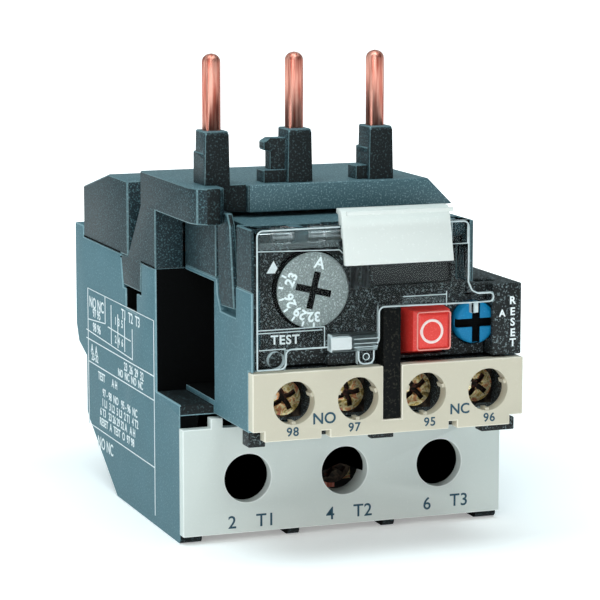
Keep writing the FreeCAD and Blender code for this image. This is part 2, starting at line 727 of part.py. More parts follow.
def fascia():
    """Front wall behind the clear cover, with the windows for everything that is worked by hand."""
    inner = half_module - module_wall
    back = fascia_y + fascia_thickness
    left_part = box(-inner, upper_right_x, fascia_y, back, fascia_bottom_z, fascia_top_z)
    right_part = box(upper_right_x - 1, reset_edge_x - fit_gap, fascia_y, back, fascia_bottom_z, reset_top_z - 1.8)
    left_part = left_part.cut(box(upper_right_x - 1.7, half_module, 0, back + 1, module_split_z - 0.1, module_top_z))
    pillar = box(slot_x0 + 0.1, slot_x1 - 0.1, 0.3, fascia_y + 0.2, shroud_top_z, pillar_top_z)
    tongue = box(slot_x0 + 0.1, slot_x1 - 0.1, 0.3, shroud_thickness + 0.7, shroud_bottom_z + 2.3, shroud_top_z + 0.1)
    solid = join([left_part, right_part, pillar, tongue])
    gap = 0.25
    solid = solid.cut(box(stop_x - stop_width / 2 - gap, stop_x + stop_width / 2 + gap, 0, back + 1,
                          stop_z - stop_height / 2 - gap, stop_z + stop_height / 2 + gap))
    solid = solid.cut(rod(knob_x, 0, knob_z, knob_r + gap, back + 1, V(0, 1, 0)))
    solid = solid.cut(rod(dial_x, 0, dial_z, dial_shaft_r + running_gap, back + 1, V(0, 1, 0)))
    solid = solid.cut(rod(test_x, 0, test_z, test_r + running_gap, back + 1, V(0, 1, 0)))
    # window under the marker, and the step the cover's latch snaps on
    solid = solid.cut(box(marker_left_x + 6.9, marker_right_x + 2.1, fascia_y - 1, fascia_y + 0.9,
                          marker_bottom_z - 4.2, marker_bottom_z - 1.0))
    stud = rod(compensator_x, back - 0.2, compensator_z, stud_r, 4.6, V(0, 1, 0))
    catch = box(slot_x0 - 8.45, slot_x0 - 2.25, fascia_y - 1.7, fascia_y + 0.2, fascia_bottom_z, fascia_bottom_z + 1.7)
    return join([solid, stud, catch])


def reset_shroud():
    back = fascia_y + fascia_thickness
    block = box(reset_edge_x, half_module, reset_front_y, back, fascia_bottom_z, reset_top_z)
    block = block.cut(rod(knob_x, reset_front_y + 0.8, knob_z, knob_r + 0.25, 10, V(0, 1, 0)))
    top = box(upper_right_x + 0.05, half_module, fascia_y - 0.6, step_y - fit_gap, reset_top_z - 1.5, reset_top_z)
    solid = join([block, top])
    slot = box(knob_x + 1.0, knob_x + 4.4, fascia_y + 0.6, fascia_y + 3.8, reset_top_z - 0.8, reset_top_z + 1)
    return solid.cut(slot)


# control terminals -----------------------------------------------------------

def control_terminal_shroud():
    z0 = shroud_bottom_z
    z1 = shroud_top_z
    plate = box(-half_module, half_module, 0, shroud_thickness, z0, z1)
    plate = plate.cut(box(-half_module - 1, -half_module + 1.9, -1, 5, z0 - 1, z0 + 1.6))
    plate = plate.cut(box(half_module - 2.2, half_module + 1, -1, 5, z0 - 1, z0 + 1.5))
    plate = plate.cut(box(slot_x0, slot_x1, -1, 5, z0 + 2.2, z1 + 1))
    for x in notch_x:
        plate = plate.cut(box(x - 0.7, x + 0.7, -1, 5, z0 - 1, z0 + 1.2))
    for x in well_x:
        plate = plate.cut(rod(x, -1, well_z, well_r, 8, V(0, 1, 0)))
    return plate


def control_terminal_block():
    """Carrier behind the ivory shroud with one open-bottomed pocket for each small terminal."""
    front = shroud_thickness + 0.9
    inner = half_module - module_wall - 0.1
    solid = box(-inner, inner, front, block_back_y, module_floor_z - 0.6, fascia_bottom_z - 0.4)
    clear = small_screw_r + 0.4
    for x, tip in zip(well_x, tip_x):
        solid = solid.cut(box(x - pocket_half, x + pocket_half, front - 1, terminal_y + terminal_thickness,
                              module_floor_z - 2, well_z + 4.2))
        solid = solid.cut(box(tip - strip_half - 0.3, tip + strip_half + 0.3, terminal_y, block_back_y + 1,
                              strip_z - 0.3, strip_z + strip_thickness + 0.3))
        solid = solid.cut(box(x - clear, x + clear, terminal_y, block_back_y + 1, well_z - clear, well_z + clear))
    foot_y = shroud_thickness + 0.3
    floor = module_floor_z
    low = shroud_bottom_z - 1.4
    feet = [box(-half_module + 0.2, -half_module + 2.9, foot_y, foot_y + 3, low + 0.2, floor),
            box(half_module - 5.9, half_module - 0.3, foot_y, foot_y + 2.5, low, floor - 0.6),
            box(well_x[3] + pocket_half, inner, foot_y, foot_y + 2.5, low, floor + 1),
            box(slot_x0 - 2.25, slot_x0 + 2.15, foot_y, foot_y + 2.5, low + 0.9, floor + 1)]
    return join([solid] + feet)


def control_screw(x):
    head = rod(x, small_head_y, well_z, small_head_r, small_head_height, V(0, 1, 0))
    start = small_head_y + 1
    shank = shank_bar(x, well_z, small_screw_r, start, terminal_y + terminal_thickness - 0.2)
    solid = head.fuse(shank)
    return solid.cut(cross_slot(x, small_head_y, well_z, 1.9, 0.75, 1.1, 30))


def clamp_washer(x):
    y0 = small_head_y + small_head_height + 0.1
    half = washer_side / 2
    plate = box(x - half, x + half, y0, y0 + washer_thickness, well_z - half, well_z + half)
    return plate.cut(shank_hole(x, well_z, small_screw_r, y0 - 1, y0 + washer_thickness + 1))


def contact_terminal(index):
    """Threaded terminal plate whose strip runs back to the fixed contact tip."""
    x = well_x[index]
    tip = tip_x[index]
    makes = index < 2
    plate = box(x - plate_half, x + plate_half, terminal_y, terminal_y + terminal_thickness, ledge_z + 0.2, well_z + 3.6)
    face = bridge_y + bridge_thickness + contact_travel + 0.1 if makes else bridge_y - 0.1
    far = face + 0.6 + strip_thickness if makes else face - 0.6
    pad0, pad1 = (face, face + 0.7) if makes else (far - 0.1, face)
    pad = box(tip - tip_r, tip + tip_r, pad0, pad1, tip_z - tip_r, tip_z + tip_r)
    run = box(tip - strip_half, tip + strip_half, terminal_y, far, strip_z, strip_z + strip_thickness)
    rise = box(tip - strip_half, tip + strip_half, far - strip_thickness, far, strip_z, tip_z + 1.0)
    solid = join([plate, run, rise, pad])
    return solid.cut(shank_hole(x, well_z, small_screw_r, terminal_y - 1, terminal_y + terminal_thickness + 1))


def contact_bridge(x0, x1):
    y = bridge_y
    bar = box(x0 - 1.2, x1 + 1.2, y, y + bridge_thickness, tip_z - 1.0, tip_z + 1.0)
    stem = box((x0 + x1) / 2 - 1.2, (x0 + x1) / 2 + 1.2, y, y + bridge_thickness, tip_z + 0.9, carrier_z)
    return join([bar, stem])


def contact_carrier():
    """Moulded slide that carries both bridges; a slanted slot lets the trip lever push it back."""
    y0 = carrier_y - 1.0
    peg_y = lever_y - lever_front
    plate_z = trip_bar_z - 0.2
    bar = box(tip_x[0] - 0.1, tip_x[3] + 0.2, y0, carrier_y + 1.4, carrier_z, carrier_z + 2.4)
    web = box(lever_x - 5.0, lever_x - 2.4, y0, peg_y - 2.0, carrier_z, trip_bar_z + 1.6)
    plate = box(lever_x - 6.0, lever_x + 3.4, carrier_y, peg_y + 3.4, plate_z, plate_z + 1.6)
    solid = join([bar, web, plate])
    return solid.cut(prism_z(cam_slot(), plate_z - 1, plate_z + 3))


def cam_slot():
    """Outline that the lever's front peg sweeps in the carrier while both move."""
    full = trip_travel / lever_rear
    reach = peg_r + fit_gap
    steps = 5
    near = []
    far = []
    for i in range(steps + 1):
        angle = full * i / steps
        x = lever_x - lever_front * math.sin(angle)
        y = lever_y - lever_front * math.cos(angle) - contact_travel * i / steps
        near.append((x, y - reach))
        far.append((x, y + reach))
    near[0] = (lever_x + reach, lever_y - lever_front - reach)
    far[0] = (lever_x + reach, lever_y - lever_front + reach)
    near[-1] = (near[-1][0] - reach, near[-1][1])
    far[-1] = (far[-1][0] - reach, far[-1][1])
    return near + far[::-1]


# clear cover and marker --------------------------------------------------------

def clear_cover():
    left = cover_left_x
    right = cover_right_x
    waist = cover_waist_z
    latch_x = slot_x0 - 1.65
    outline = [
        (left, cover_top_z), (right, cover_top_z), (right, waist + 3.2), (right + 0.5, waist + 1.8),
        (right + 1.6, waist + 1.2), (right + 4.2, waist + 1.2), (right + 4.2, waist - 0.4), (right + 1.2, waist - 0.4),
        (right + 1.2, waist - 2.0), (right + 0.4, waist - 2.0), (right + 0.4, waist - 0.3), (slot_x0 - 0.8, waist),
        (slot_x0 - 0.8, cover_bottom_z), (latch_x, cover_bottom_z), (latch_x, lug_bottom_z + 0.1),
        (latch_x - 2.6, lug_bottom_z + 0.1), (latch_x - 2.6, cover_bottom_z), (left + 4.8, cover_bottom_z),
        (left + 4.8, lug_bottom_z), (left, lug_bottom_z),
    ]
    inside = cover_thickness - 0.2
    rim = 1.0
    deep = rebate_y - fit_gap
    pieces = [
        prism_y(outline, 0, cover_thickness),
        box(left, left + rim, inside, deep, lug_bottom_z + 3.4, cover_top_z),
        box(right - rim, right, inside, deep, waist + 3.2, cover_top_z),
        box(left, right, inside, hinge_y - hinge_r - 0.1, cover_top_z - rim, cover_top_z),
        box(latch_x - 7.6, latch_x, -1.6, 0.2, cover_bottom_z - 0.5, cover_bottom_z + 2.2),
    ]
    for x in hinge_knuckles():
        pieces.append(box(x, x + knuckle_width, 0.6, hinge_y + 0.2, hinge_z - knuckle_r + 0.3, cover_top_z))
        pieces.append(rod(x, hinge_y, hinge_z, knuckle_r, knuckle_width, V(1, 0, 0)))
    solid = join(pieces)
    for x in hinge_knuckles():
        solid = solid.cut(rod(x - 1, hinge_y, hinge_z, hinge_r + running_gap, knuckle_width + 2, V(1, 0, 0)))
    for x in hinge_lugs():
        solid = solid.cut(box(x - fit_gap, x + lug_width + fit_gap, cover_thickness, 6, hinge_z - knuckle_r - 1.3,
                              cover_top_z + 1))
    return solid.cut(rod(test_x, -1, test_z, 1.3, 4, V(0, 1, 0)))


def hinge_pin():
    x0 = hinge_knuckles()[0] - 0.4
    x1 = hinge_lugs()[1] + lug_width
    return rod(x0, hinge_y, hinge_z, hinge_r, x1 - x0, V(1, 0, 0))


def marker_plate():
    """White label carrier that folds over the cover's top edge and leans out at the bottom."""
    top = cover_top_z
    low = marker_bottom_z
    outline = [(-marker_reach, low), (-0.3, top + 1.7), (-0.05, top + 2.2), (0.5, top + 2.5), (2.0, top + 2.5),
               (2.0, top + 1.7), (1.2, top + 1.6), (0.9, top + 0.02), (0.0, top + 0.02), (0.0, top - 1.9),
               (-0.6, top - 1.9), (0.9 - marker_reach, low)]
    return prism_x(outline, marker_left_x, marker_right_x)


# hand-worked pieces ------------------------------------------------------------

def setting_dial():
    disc = rod(dial_x, dial_y, dial_z, dial_r, dial_thickness, V(0, 1, 0))
    rim_edges = [e for e in disc.Edges if abs(e.CenterOfMass.y - dial_y) < 0.01]
    disc = disc.makeChamfer(0.3, rim_edges)
    shaft = rod(dial_x, dial_y + 1, dial_z, dial_shaft_r, cam_y + cam_thickness + 0.8 - dial_y - 1, V(0, 1, 0))
    solid = disc.fuse(shaft)
    return solid.cut(cross_slot(dial_x, dial_y, dial_z, 2.9, 1.05, 0.9, 14))


def setting_cam():
    """Spiral cam on the dial's shaft: its radius grows evenly over the dial's turn."""
    points = []
    steps = 24
    for i in range(steps):
        angle = 360.0 * i / steps
        if angle <= dial_turn:
            radius = cam_low_r + cam_rise * angle / dial_turn
        elif angle <= dial_turn + 15:
            radius = cam_low_r + cam_rise
        else:
            rest = (angle - dial_turn - 15) / (345 - dial_turn - 15)
            radius = cam_low_r + cam_rise * max(0.0, 1 - rest)
        turn = math.radians(angle)
        points.append((dial_x + radius * math.cos(turn), dial_z + radius * math.sin(turn)))
    cam = prism_y(points, cam_y, cam_y + cam_thickness)
    return cam.cut(rod(dial_x, cam_y - 1, dial_z, dial_shaft_r, cam_thickness + 2, V(0, 1, 0)))


def compensator_lever():
    hub = rod(compensator_x, flange_y + 0.2, compensator_z, stud_r + 1.0, 3.4, V(0, 1, 0))
    blade = box(compensator_x - 0.45, compensator_x + 0.45, cam_y - 0.2, cam_y + cam_thickness + 0.2,
                compensator_low_z, compensator_z - 1.2)
    nose = box(dial_x + cam_low_r + 0.2, compensator_x, cam_y, cam_y + cam_thickness, dial_z - 0.45, dial_z + 0.45)
    solid = join([hub, blade, nose])
    return solid.cut(rod(compensator_x, 0, compensator_z, stud_r + running_gap, 12, V(0, 1, 0)))


def stem(x, z):
    start = flange_y + flange_thickness - 0.2
    return box(x - stem_half, x + stem_half, start, rib_y + rib_thickness + 0.6, z - stem_half, z + stem_half)


def stop_button():
    w = stop_width / 2
    h = stop_height / 2
    cap = box(stop_x - w, stop_x + w, stop_y, flange_y + 0.2, stop_z - h, stop_z + h)
    front = [e for e in cap.Edges if abs(e.CenterOfMass.y - stop_y) < 0.01]
    cap = cap.makeChamfer(0.6, front)
    flange = box(stop_x - w - 0.6, stop_x + w + 0.6, flange_y, flange_y + flange_thickness, stop_z - h - 0.4, stop_z + h + 0.4)
    return join([cap, flange, stem(stop_x, stop_z)])


def reset_knob():
    body = rod(knob_x, knob_y, knob_z, knob_r, flange_y - 0.1 - knob_y, V(0, 1, 0))
    front = [e for e in body.Edges if abs(e.CenterOfMass.y - knob_y) < 0.01]
    body = body.makeChamfer(0.3, front)
    spigot = rod(knob_x, knob_y + 1, knob_z, 0.9, 7.4 - knob_y, V(0, 1, 0))
    solid = body.fuse(spigot)
    return solid.cut(cross_slot(knob_x, knob_y, knob_z, knob_r + 1, 1.3, 1.0, 0))


def reset_plunger():
    disc = rod(knob_x, flange_y, knob_z, knob_r + 0.45, flange_thickness, V(0, 1, 0))
    solid = join([disc, stem(knob_x, knob_z)])
    return solid.cut(rod(knob_x, 0, knob_z, 0.9 + running_gap, 8.8, V(0, 1, 0)))


def return_spring(x, z):
    """Coil between a button's flange and the guide rib, with a square wire to keep its faces few."""
    start = flange_y + flange_thickness + 0.1
    height = rib_y - start - 0.1
    radius = stem_half * math.sqrt(2) + spring_wire_r + 0.25
    turns = 4
    pitch = (height - 2 * spring_wire_r) / turns
    steps = 9
    points = []
    for i in range(turns * steps + 1):
        angle = 2 * math.pi * i / steps
        points.append(V(x + radius * math.cos(angle), start + spring_wire_r + pitch * i / steps,
                        z + radius * math.sin(angle)))
    path = Part.makePolygon(points)
    section = Part.Wire(Part.makePolygon(ring_points(points[0], points[1].sub(points[0]), spring_wire_r)).Edges)
    return path.makePipeShell([section], True, False, 1)


def ring_points(centre, direction, radius):
    """Closed square of points round a centre, square to a direction."""
    along = V(direction).normalize()
    first = along.cross(V(0, 1, 0)).normalize()
    second = along.cross(first)
    points = []
    for i in range(5):
        angle = math.pi * i / 2
        points.append(centre + first * (radius * math.cos(angle)) + second * (radius * math.sin(angle)))
    return points


def test_button():
    pin = rod(test_x, 2.5, test_z, test_r, 8.2, V(0, 1, 0))
    reach = test_r + 0.5
    collar = box(test_x - reach, test_x + reach, flange_y, flange_y + 1.2, test_z - reach, test_z + reach)
    return join([pin, collar])


def build():
    os.makedirs("parts", exist_ok=True)
    write("lower_housing", lower_housing())
    write("upper_cover", upper_cover())
    write("rear_cover", rear_cover())
    write("main_terminal_shroud", main_terminal_shroud())
    for number, x in enumerate(pole_x, 1):
        write("terminal_screw_%d" % number, terminal_screw(x))
        write("terminal_cage_%d" % number, terminal_cage(x))
        write("load_bar_%d" % number, load_bar(x))
        write("bimetal_%d" % number, bimetal(x))
        write("heater_%d" % number, heater(x))
        write("connection_pin_%d" % number, pin_lead(pin_xs[number - 1], x))
    write("push_bar", trip_bar(-1))
    write("hold_bar", trip_bar(1))
    write("trip_lever", trip_lever())
    write("lever_pivot_pin", lever_pivot_pin())
    write("control_housing", control_housing())
    write("control_frame", control_frame())
    write("control_fascia", fascia())
    write("reset_shroud", reset_shroud())
    write("control_terminal_shroud", control_terminal_shroud())
    write("control_terminal_block", control_terminal_block())
    for index, label in enumerate((98, 97, 95, 96)):
        write("contact_terminal_%d" % label, contact_terminal(index))
        write("control_screw_%d" % label, control_screw(well_x[index]))
        write("clamp_washer_%d" % label, clamp_washer(well_x[index]))
    write("nc_bridge", contact_bridge(tip_x[2], tip_x[3]))
    write("no_bridge", contact_bridge(tip_x[0], tip_x[1]))
    write("contact_carrier", contact_carrier())
    write("clear_cover", clear_cover())
    write("cover_hinge_pin", hinge_pin())
    write("marker_plate", marker_plate())
    write("setting_dial", setting_dial())
    write("setting_cam", setting_cam())
    write("compensator_lever", compensator_lever())
    write("stop_button", stop_button())
    write("stop_spring", return_spring(stop_x, stop_z))
    write("reset_knob", reset_knob())
    write("reset_plunger", reset_plunger())
    write("reset_spring", return_spring(knob_x, knob_z))
    write("test_button", test_button())


build()
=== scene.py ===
import bmesh
import bpy
import json
import math
from mathutils import Matrix, Vector
from mathutils.bvhtree import BVHTree

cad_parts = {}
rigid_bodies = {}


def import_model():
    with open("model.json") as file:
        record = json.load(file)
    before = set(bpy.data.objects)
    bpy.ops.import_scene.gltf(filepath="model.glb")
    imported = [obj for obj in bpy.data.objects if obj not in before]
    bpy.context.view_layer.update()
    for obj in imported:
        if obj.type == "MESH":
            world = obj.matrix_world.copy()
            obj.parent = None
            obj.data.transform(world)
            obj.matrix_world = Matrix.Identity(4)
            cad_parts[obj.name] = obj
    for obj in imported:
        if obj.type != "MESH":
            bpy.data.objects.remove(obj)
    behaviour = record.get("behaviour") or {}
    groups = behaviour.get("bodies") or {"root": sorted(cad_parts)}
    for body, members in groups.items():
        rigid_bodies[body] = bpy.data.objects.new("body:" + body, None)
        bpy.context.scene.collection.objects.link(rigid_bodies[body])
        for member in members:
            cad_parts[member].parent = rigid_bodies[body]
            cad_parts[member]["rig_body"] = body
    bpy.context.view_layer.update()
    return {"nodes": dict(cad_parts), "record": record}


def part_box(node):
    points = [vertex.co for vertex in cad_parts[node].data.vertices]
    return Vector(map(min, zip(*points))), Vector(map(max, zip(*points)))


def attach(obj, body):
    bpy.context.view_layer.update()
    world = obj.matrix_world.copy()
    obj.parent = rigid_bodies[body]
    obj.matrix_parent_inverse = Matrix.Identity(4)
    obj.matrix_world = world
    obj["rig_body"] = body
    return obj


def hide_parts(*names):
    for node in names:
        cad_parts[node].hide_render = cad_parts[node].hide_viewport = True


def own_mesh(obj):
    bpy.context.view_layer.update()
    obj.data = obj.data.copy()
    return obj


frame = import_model()
mm = 0.001
far = 999      # mm, beyond the relay on every side
mixShare, mixFirst, mixSecond, mixOut = 0, 6, 7, 2      # socket numbers of a Mix node for colours


def linearColour(code):
    # sRGB hex to Blender's linear values
    values = []
    for start in (1, 3, 5):
        level = int(code[start:start + 2], 16) / 255
        values.append(level / 12.92 if level <= 0.04045 else ((level + 0.055) / 1.055) ** 2.4)
    return (*values, 1.0)


def setNode(tree, node, given):
    # a socket is linked, a node by its first output, a list one by one, and any other value is set
    for key, value in given.items():
        sources = [item.outputs[0] if isinstance(item, bpy.types.Node) else item
                   for item in (value if isinstance(value, list) else [value])]
        if isinstance(sources[0], bpy.types.NodeSocket):
            for source in sources:
                tree.links.new(source, node.inputs[key])
        elif isinstance(key, str) and hasattr(node, key):
            setattr(node, key, value)
        else:
            node.inputs[key].default_value = value
    return node


def addNode(tree, kind, given):
    return setNode(tree, tree.nodes.new(kind), given)


def startMaterial(name):
    material = bpy.data.materials.new(name)
    material.use_nodes = True
    tree = material.node_tree
    tree.nodes.clear()
    place = addNode(tree, "ShaderNodeTexCoord", {}).outputs["Object"]
    shader = addNode(tree, "ShaderNodeBsdfPrincipled", {})
    addNode(tree, "ShaderNodeOutputMaterial", {"Surface": shader})
    return material, tree, place, shader


def mouldedPlastic(name, look):
    # spark-eroded mould skin: tiny pits scatter light as pale specks, and the melt's flow drifts the tone slowly;
    # the real grain, about 0.1 mm, is drawn coarser so that it shows
    material, tree, place, shader = startMaterial(name)
    specks = addNode(tree, "ShaderNodeTexNoise", {
        "Scale": 1 / (look["grainMm"] * mm), "Detail": 2.0, "Roughness": 0.6, "Vector": place})
    drift = addNode(tree, "ShaderNodeTexNoise", {"Scale": 1 / (look["flowMm"] * mm), "Detail": 3.0, "Vector": place})
    mask = addNode(tree, "ShaderNodeMapRange", {
        "From Min": look["edge"], "From Max": look["edge"] + 0.1, "Value": specks})
    drifted = addNode(tree, "ShaderNodeMix", {
        "data_type": "RGBA", mixShare: drift, mixFirst: linearColour(look["shade"]),
        mixSecond: linearColour(look["colour"])})
    strength = addNode(tree, "ShaderNodeMath", {"operation": "MULTIPLY", 0: mask, 1: look["amount"]})
    coloured = addNode(tree, "ShaderNodeMix", {
        "data_type": "RGBA", mixShare: strength, mixFirst: drifted.outputs[mixOut],
        mixSecond: linearColour(look["speck"])})
    bump = addNode(tree, "ShaderNodeBump", {"Strength": look["pits"], "Distance": 0.06 * mm, "Height": specks})
    setNode(tree, shader, {
        "Base Color": coloured.outputs[mixOut], "Normal": bump, "Roughness": look["roughness"], "IOR": look["ior"]})
    return material


# looks start from a smooth skin, or from a paler skin for the painted highlights on rounded edges; the darker ones
# take an IOR well below the real 1.5, so that the bright room doesn't wash them out
smooth = dict(amount=0.3, edge=0.6, grainMm=0.4, flowMm=7, pits=0.12, roughness=0.42, ior=1.45)
highlitSkin = dict(smooth, amount=0.5, edge=0.55, grainMm=0.3, pits=0.2, roughness=0.4)
plasticLooks = {
    # lower case and module case: cool blue-grey with a fine pale grain
    "glassFilledPolyamideBlueGrey": dict(
        smooth, colour="#4D737E", shade="#446872", speck="#7C9DA6", amount=0.45, edge=0.56, grainMm=0.32, pits=0.45,
        roughness=0.6, ior=1.4),
    # covers, posts and hinge frame: dark, with glass fibre showing as pale specks
    "glassFilledPolyamideSlate": dict(
        smooth, colour="#162A30", shade="#112228", speck="#547880", amount=0.62, edge=0.54, grainMm=0.27, pits=0.6,
        roughness=0.6, ior=1.38),
    # top faces and the front band: the slate painted paler, a painted sheen for the light that falls on them
    "burnishedPolyamideSlate": dict(
        smooth, colour="#48666E", shade="#405D65", speck="#8CABB1", amount=0.6, edge=0.54, grainMm=0.28, pits=0.5,
        roughness=0.5),
    # post fronts and the corner block: a matt skin painted near black, as painted shade
    "mattPolyamideSlate": dict(
        smooth, colour="#0C1517", shade="#090F11", speck="#3A4F53", amount=0.7, edge=0.55, grainMm=0.34, pits=0.5,
        roughness=0.7, ior=1.35),
    # rounded edges, painted bright: painted highlights where the edges catch the light
    "edgeHighlightBlueGrey": dict(highlitSkin, colour="#7A9BA4", shade="#6F9099", speck="#9BB7BE"),
    "edgeHighlightSlate": dict(highlitSkin, colour="#56747A", shade="#4A666C", speck="#86A4AA"),
    "edgeHighlightPale": dict(
        highlitSkin, colour="#E9EDEA", shade="#E3E8E4", speck="#F2F4F2", amount=0.3, grainMm=0.4, pits=0.1,
        roughness=0.35),
    "edgeHighlightIvory": dict(
        highlitSkin, colour="#E6DECE", shade="#DFD7C6", speck="#EFE9DC", amount=0.3, grainMm=0.4, pits=0.1,
        roughness=0.35),
    # fascia, reset block and terminal carrier: black with bright fibre specks
    "glassFilledPolyamideBlack": dict(
        smooth, colour="#080C0D", shade="#050809", speck="#7A898D", amount=0.8, edge=0.56, grainMm=0.27, pits=0.6,
        roughness=0.55, ior=1.4),
    # centre rib between the two contact groups, rubbed dull and brownish
    "wornPolyamideBlack": dict(
        smooth, colour="#07090A", shade="#050707", speck="#39372F", amount=0.5, edge=0.55, grainMm=0.35, pits=0.4,
        roughness=0.65, ior=1.22),
    # window insert under the marker: smooth and faintly shiny
    "polishedAbsBlack": dict(
        smooth, colour="#121617", shade="#101415", speck="#1A2021", grainMm=0.5, pits=0.05, roughness=0.3),
    # deep recesses, where the black moulding gets no light
    "shadedPolyamideBlack": dict(
        smooth, colour="#040506", shade="#020303", speck="#0C1012", amount=0.5, grainMm=0.3, pits=0.3,
        roughness=0.9, ior=1.2),
    # contact block front: warm, almost even, with a soft shine
    "ivoryPolycarbonate": dict(smooth, colour="#CBC3B0", shade="#C6BEAB", speck="#D3CCBC"),
    # power terminal front: cool and even
    "paleGreyPolycarbonate": dict(smooth, colour="#D3D9D4", shade="#CED4D0", speck="#DDE2DF"),
    # marker: the whitest and smoothest part
    "whitePolystyrene": dict(
        smooth, colour="#DADDD9", shade="#D6DAD6", speck="#EDF0ED", grainMm=0.5, pits=0.05, roughness=0.38),
    # dial: mottled by wear from the screwdriver
    "greyAcetal": dict(
        smooth, colour="#848C8B", shade="#727A7A", speck="#B4BCBB", amount=0.9, edge=0.54, grainMm=0.28, pits=0.6,
        roughness=0.45),
    # stop button and reset knob: strong colour with a waxy shine
    "redAcetal": dict(
        smooth, colour="#E23B34", shade="#DA362F", speck="#F0675E", amount=0.5, edge=0.57, grainMm=0.25, pits=0.2,
        roughness=0.4),
    "blueAcetal": dict(
        smooth, colour="#0079AA", shade="#006E9C", speck="#2599C6", amount=0.4, edge=0.56, grainMm=0.25, pits=0.2,
        roughness=0.5, ior=1.35),
    # inner bars and levers: undyed, milky
    "naturalAcetal": dict(
        smooth, colour="#D8D5C8", shade="#D2CFC2", speck="#E2E0D6", grainMm=0.3, pits=0.1, roughness=0.4),
}
surfaces = {name: mouldedPlastic(name, look) for name, look in plasticLooks.items()}


def printedInk(name, code):
    # pad-printed ink: thin, slightly uneven and duller than the plastic under it
    material, tree, place, shader = startMaterial(name)
    full = linearColour(code)
    thin = [level * 0.75 for level in full[:3]] + [1]      # where the ink is thin, the plastic darkens it
    patchy = addNode(tree, "ShaderNodeTexNoise", {"Scale": 1 / (0.3 * mm), "Detail": 2.0, "Vector": place})
    tone = addNode(tree, "ShaderNodeMix", {"data_type": "RGBA", mixShare: patchy, mixSecond: full})
    tone.inputs[mixFirst].default_value = thin
    setNode(tree, shader, {"Base Color": tone.outputs[mixOut], "Roughness": 0.55})
    return material


# the rose colour is no print: it is a painted highlight for the stop button's edges, laid on like ink
inkColours = {"tealInk": "#1B4A5E", "whiteInk": "#F2F8FA", "pinkInk": "#FBE4E0", "roseEdgeHighlight": "#F59A90"}
surfaces.update({name: printedInk(name, code) for name, code in inkColours.items()})


def drawnCopper(look):
    # hard-drawn copper: draw lines run along the pin as bright and brown streaks, drawn coarser so that they show
    material, tree, place, shader = startMaterial("drawnCopper")
    along = addNode(tree, "ShaderNodeMapping", {"Scale": (1, 1, look["stretch"]), "Vector": place})
    lines = addNode(tree, "ShaderNodeTexNoise", {"Scale": 1 / (look["lineMm"] * mm), "Detail": 3.0, "Vector": along})
    sharper = addNode(tree, "ShaderNodeMapRange", {"From Min": 0.35, "From Max": 0.65, "Value": lines})
    tone = addNode(tree, "ShaderNodeMix", {
        "data_type": "RGBA", mixShare: sharper, mixFirst: linearColour(look["brown"]),
        mixSecond: linearColour(look["bright"])})
    rough = addNode(tree, "ShaderNodeMapRange", {
        "To Min": look["smoothest"], "To Max": look["roughest"], "Value": lines})
    bump = addNode(tree, "ShaderNodeBump", {"Strength": 0.2, "Distance": 0.02 * mm, "Height": lines})
    setNode(tree, shader, {"Base Color": tone.outputs[mixOut], "Metallic": 1.0, "Roughness": rough, "Normal": bump})
    return material


def filmedSteel(name, look):
    # steel under a thin film: where the film's thickness changes, one tone runs into the next in patches
    material, tree, place, shader = startMaterial(name)
    film = addNode(tree, "ShaderNodeTexNoise", {
        "Scale": 1 / (look["patchMm"] * mm), "Detail": 4.0, "Distortion": 1.0, "Vector": place})
    tones = addNode(tree, "ShaderNodeValToRGB", {"Fac": film})
    stops = tones.color_ramp.elements
    first, *between, last = look["tones"]
    for stop, (position, code) in ((stops[0], first), (stops[1], last)):
        stop.position, stop.color = position, linearColour(code)
    for position, code in between:
        stops.new(position).color = linearColour(code)
    scratch = addNode(tree, "ShaderNodeTexNoise", {"Scale": 1 / (0.25 * mm), "Detail": 2.0, "Vector": place})
    rough = addNode(tree, "ShaderNodeMapRange", {
        "To Min": look["roughness"], "To Max": look["roughness"] + 0.2, "Value": scratch})
    bump = addNode(tree, "ShaderNodeBump", {"Strength": 0.4, "Distance": 0.04 * mm, "Height": scratch})
    setNode(tree, shader, {"Base Color": tones, "Metallic": 0.7, "Roughness": rough, "Normal": bump})
    return material


def rolledMetal(name, look):
    # rolled strip: fine grain lines along the strip, drawn coarser so that they show
    material, tree, place, shader = startMaterial(name)
    along = addNode(tree, "ShaderNodeMapping", {"Scale": (1, 1, 0.08), "Vector": place})
    grain = addNode(tree, "ShaderNodeTexNoise", {"Scale": 1 / (0.25 * mm), "Detail": 2.0, "Vector": along})
    tone = addNode(tree, "ShaderNodeMix", {
        "data_type": "RGBA", mixShare: grain, mixFirst: linearColour(look["dark"]),
        mixSecond: linearColour(look["light"])})
    setNode(tree, shader, {"Base Color": tone.outputs[mixOut], "Metallic": 1.0, "Roughness": look["roughness"]})
    return material


surfaces["drawnCopper"] = drawnCopper({
    "brown": "#BC6352", "bright": "#F0B09E", "lineMm": 0.4, "stretch": 0.06, "smoothest": 0.38, "roughest": 0.55})
filmLooks = {
    # yellow chromate over zinc: gold that runs into pink and white; part lacquer, so not fully metallic
    "yellowZincSteel": {"tones": [(0.30, "#5B5644"), (0.42, "#D2B068"), (0.5, "#F4ECC0"), (0.58, "#E0A36C"),
                                  (0.70, "#C76F6A")], "patchMm": 1.3, "roughness": 0.2},
    # heat-browned steel under oil, darkened further as painted shade for the screws and washers deep in their wells
    "brownedShadedSteel": {"tones": [(0.35, "#14110F"), (0.5, "#2E2620"), (0.65, "#574A3E")], "patchMm": 1.6,
                     "roughness": 0.4},
    # recess walls of the screw slots: painted shade, dark steel tones running into brown
    "shadedSlotSteel": {"tones": [(0.35, "#0C0A08"), (0.5, "#2A2018"), (0.7, "#6A3E34")], "patchMm": 0.7, "roughness": 0.5},
}
surfaces.update({name: filmedSteel(name, look) for name, look in filmLooks.items()})
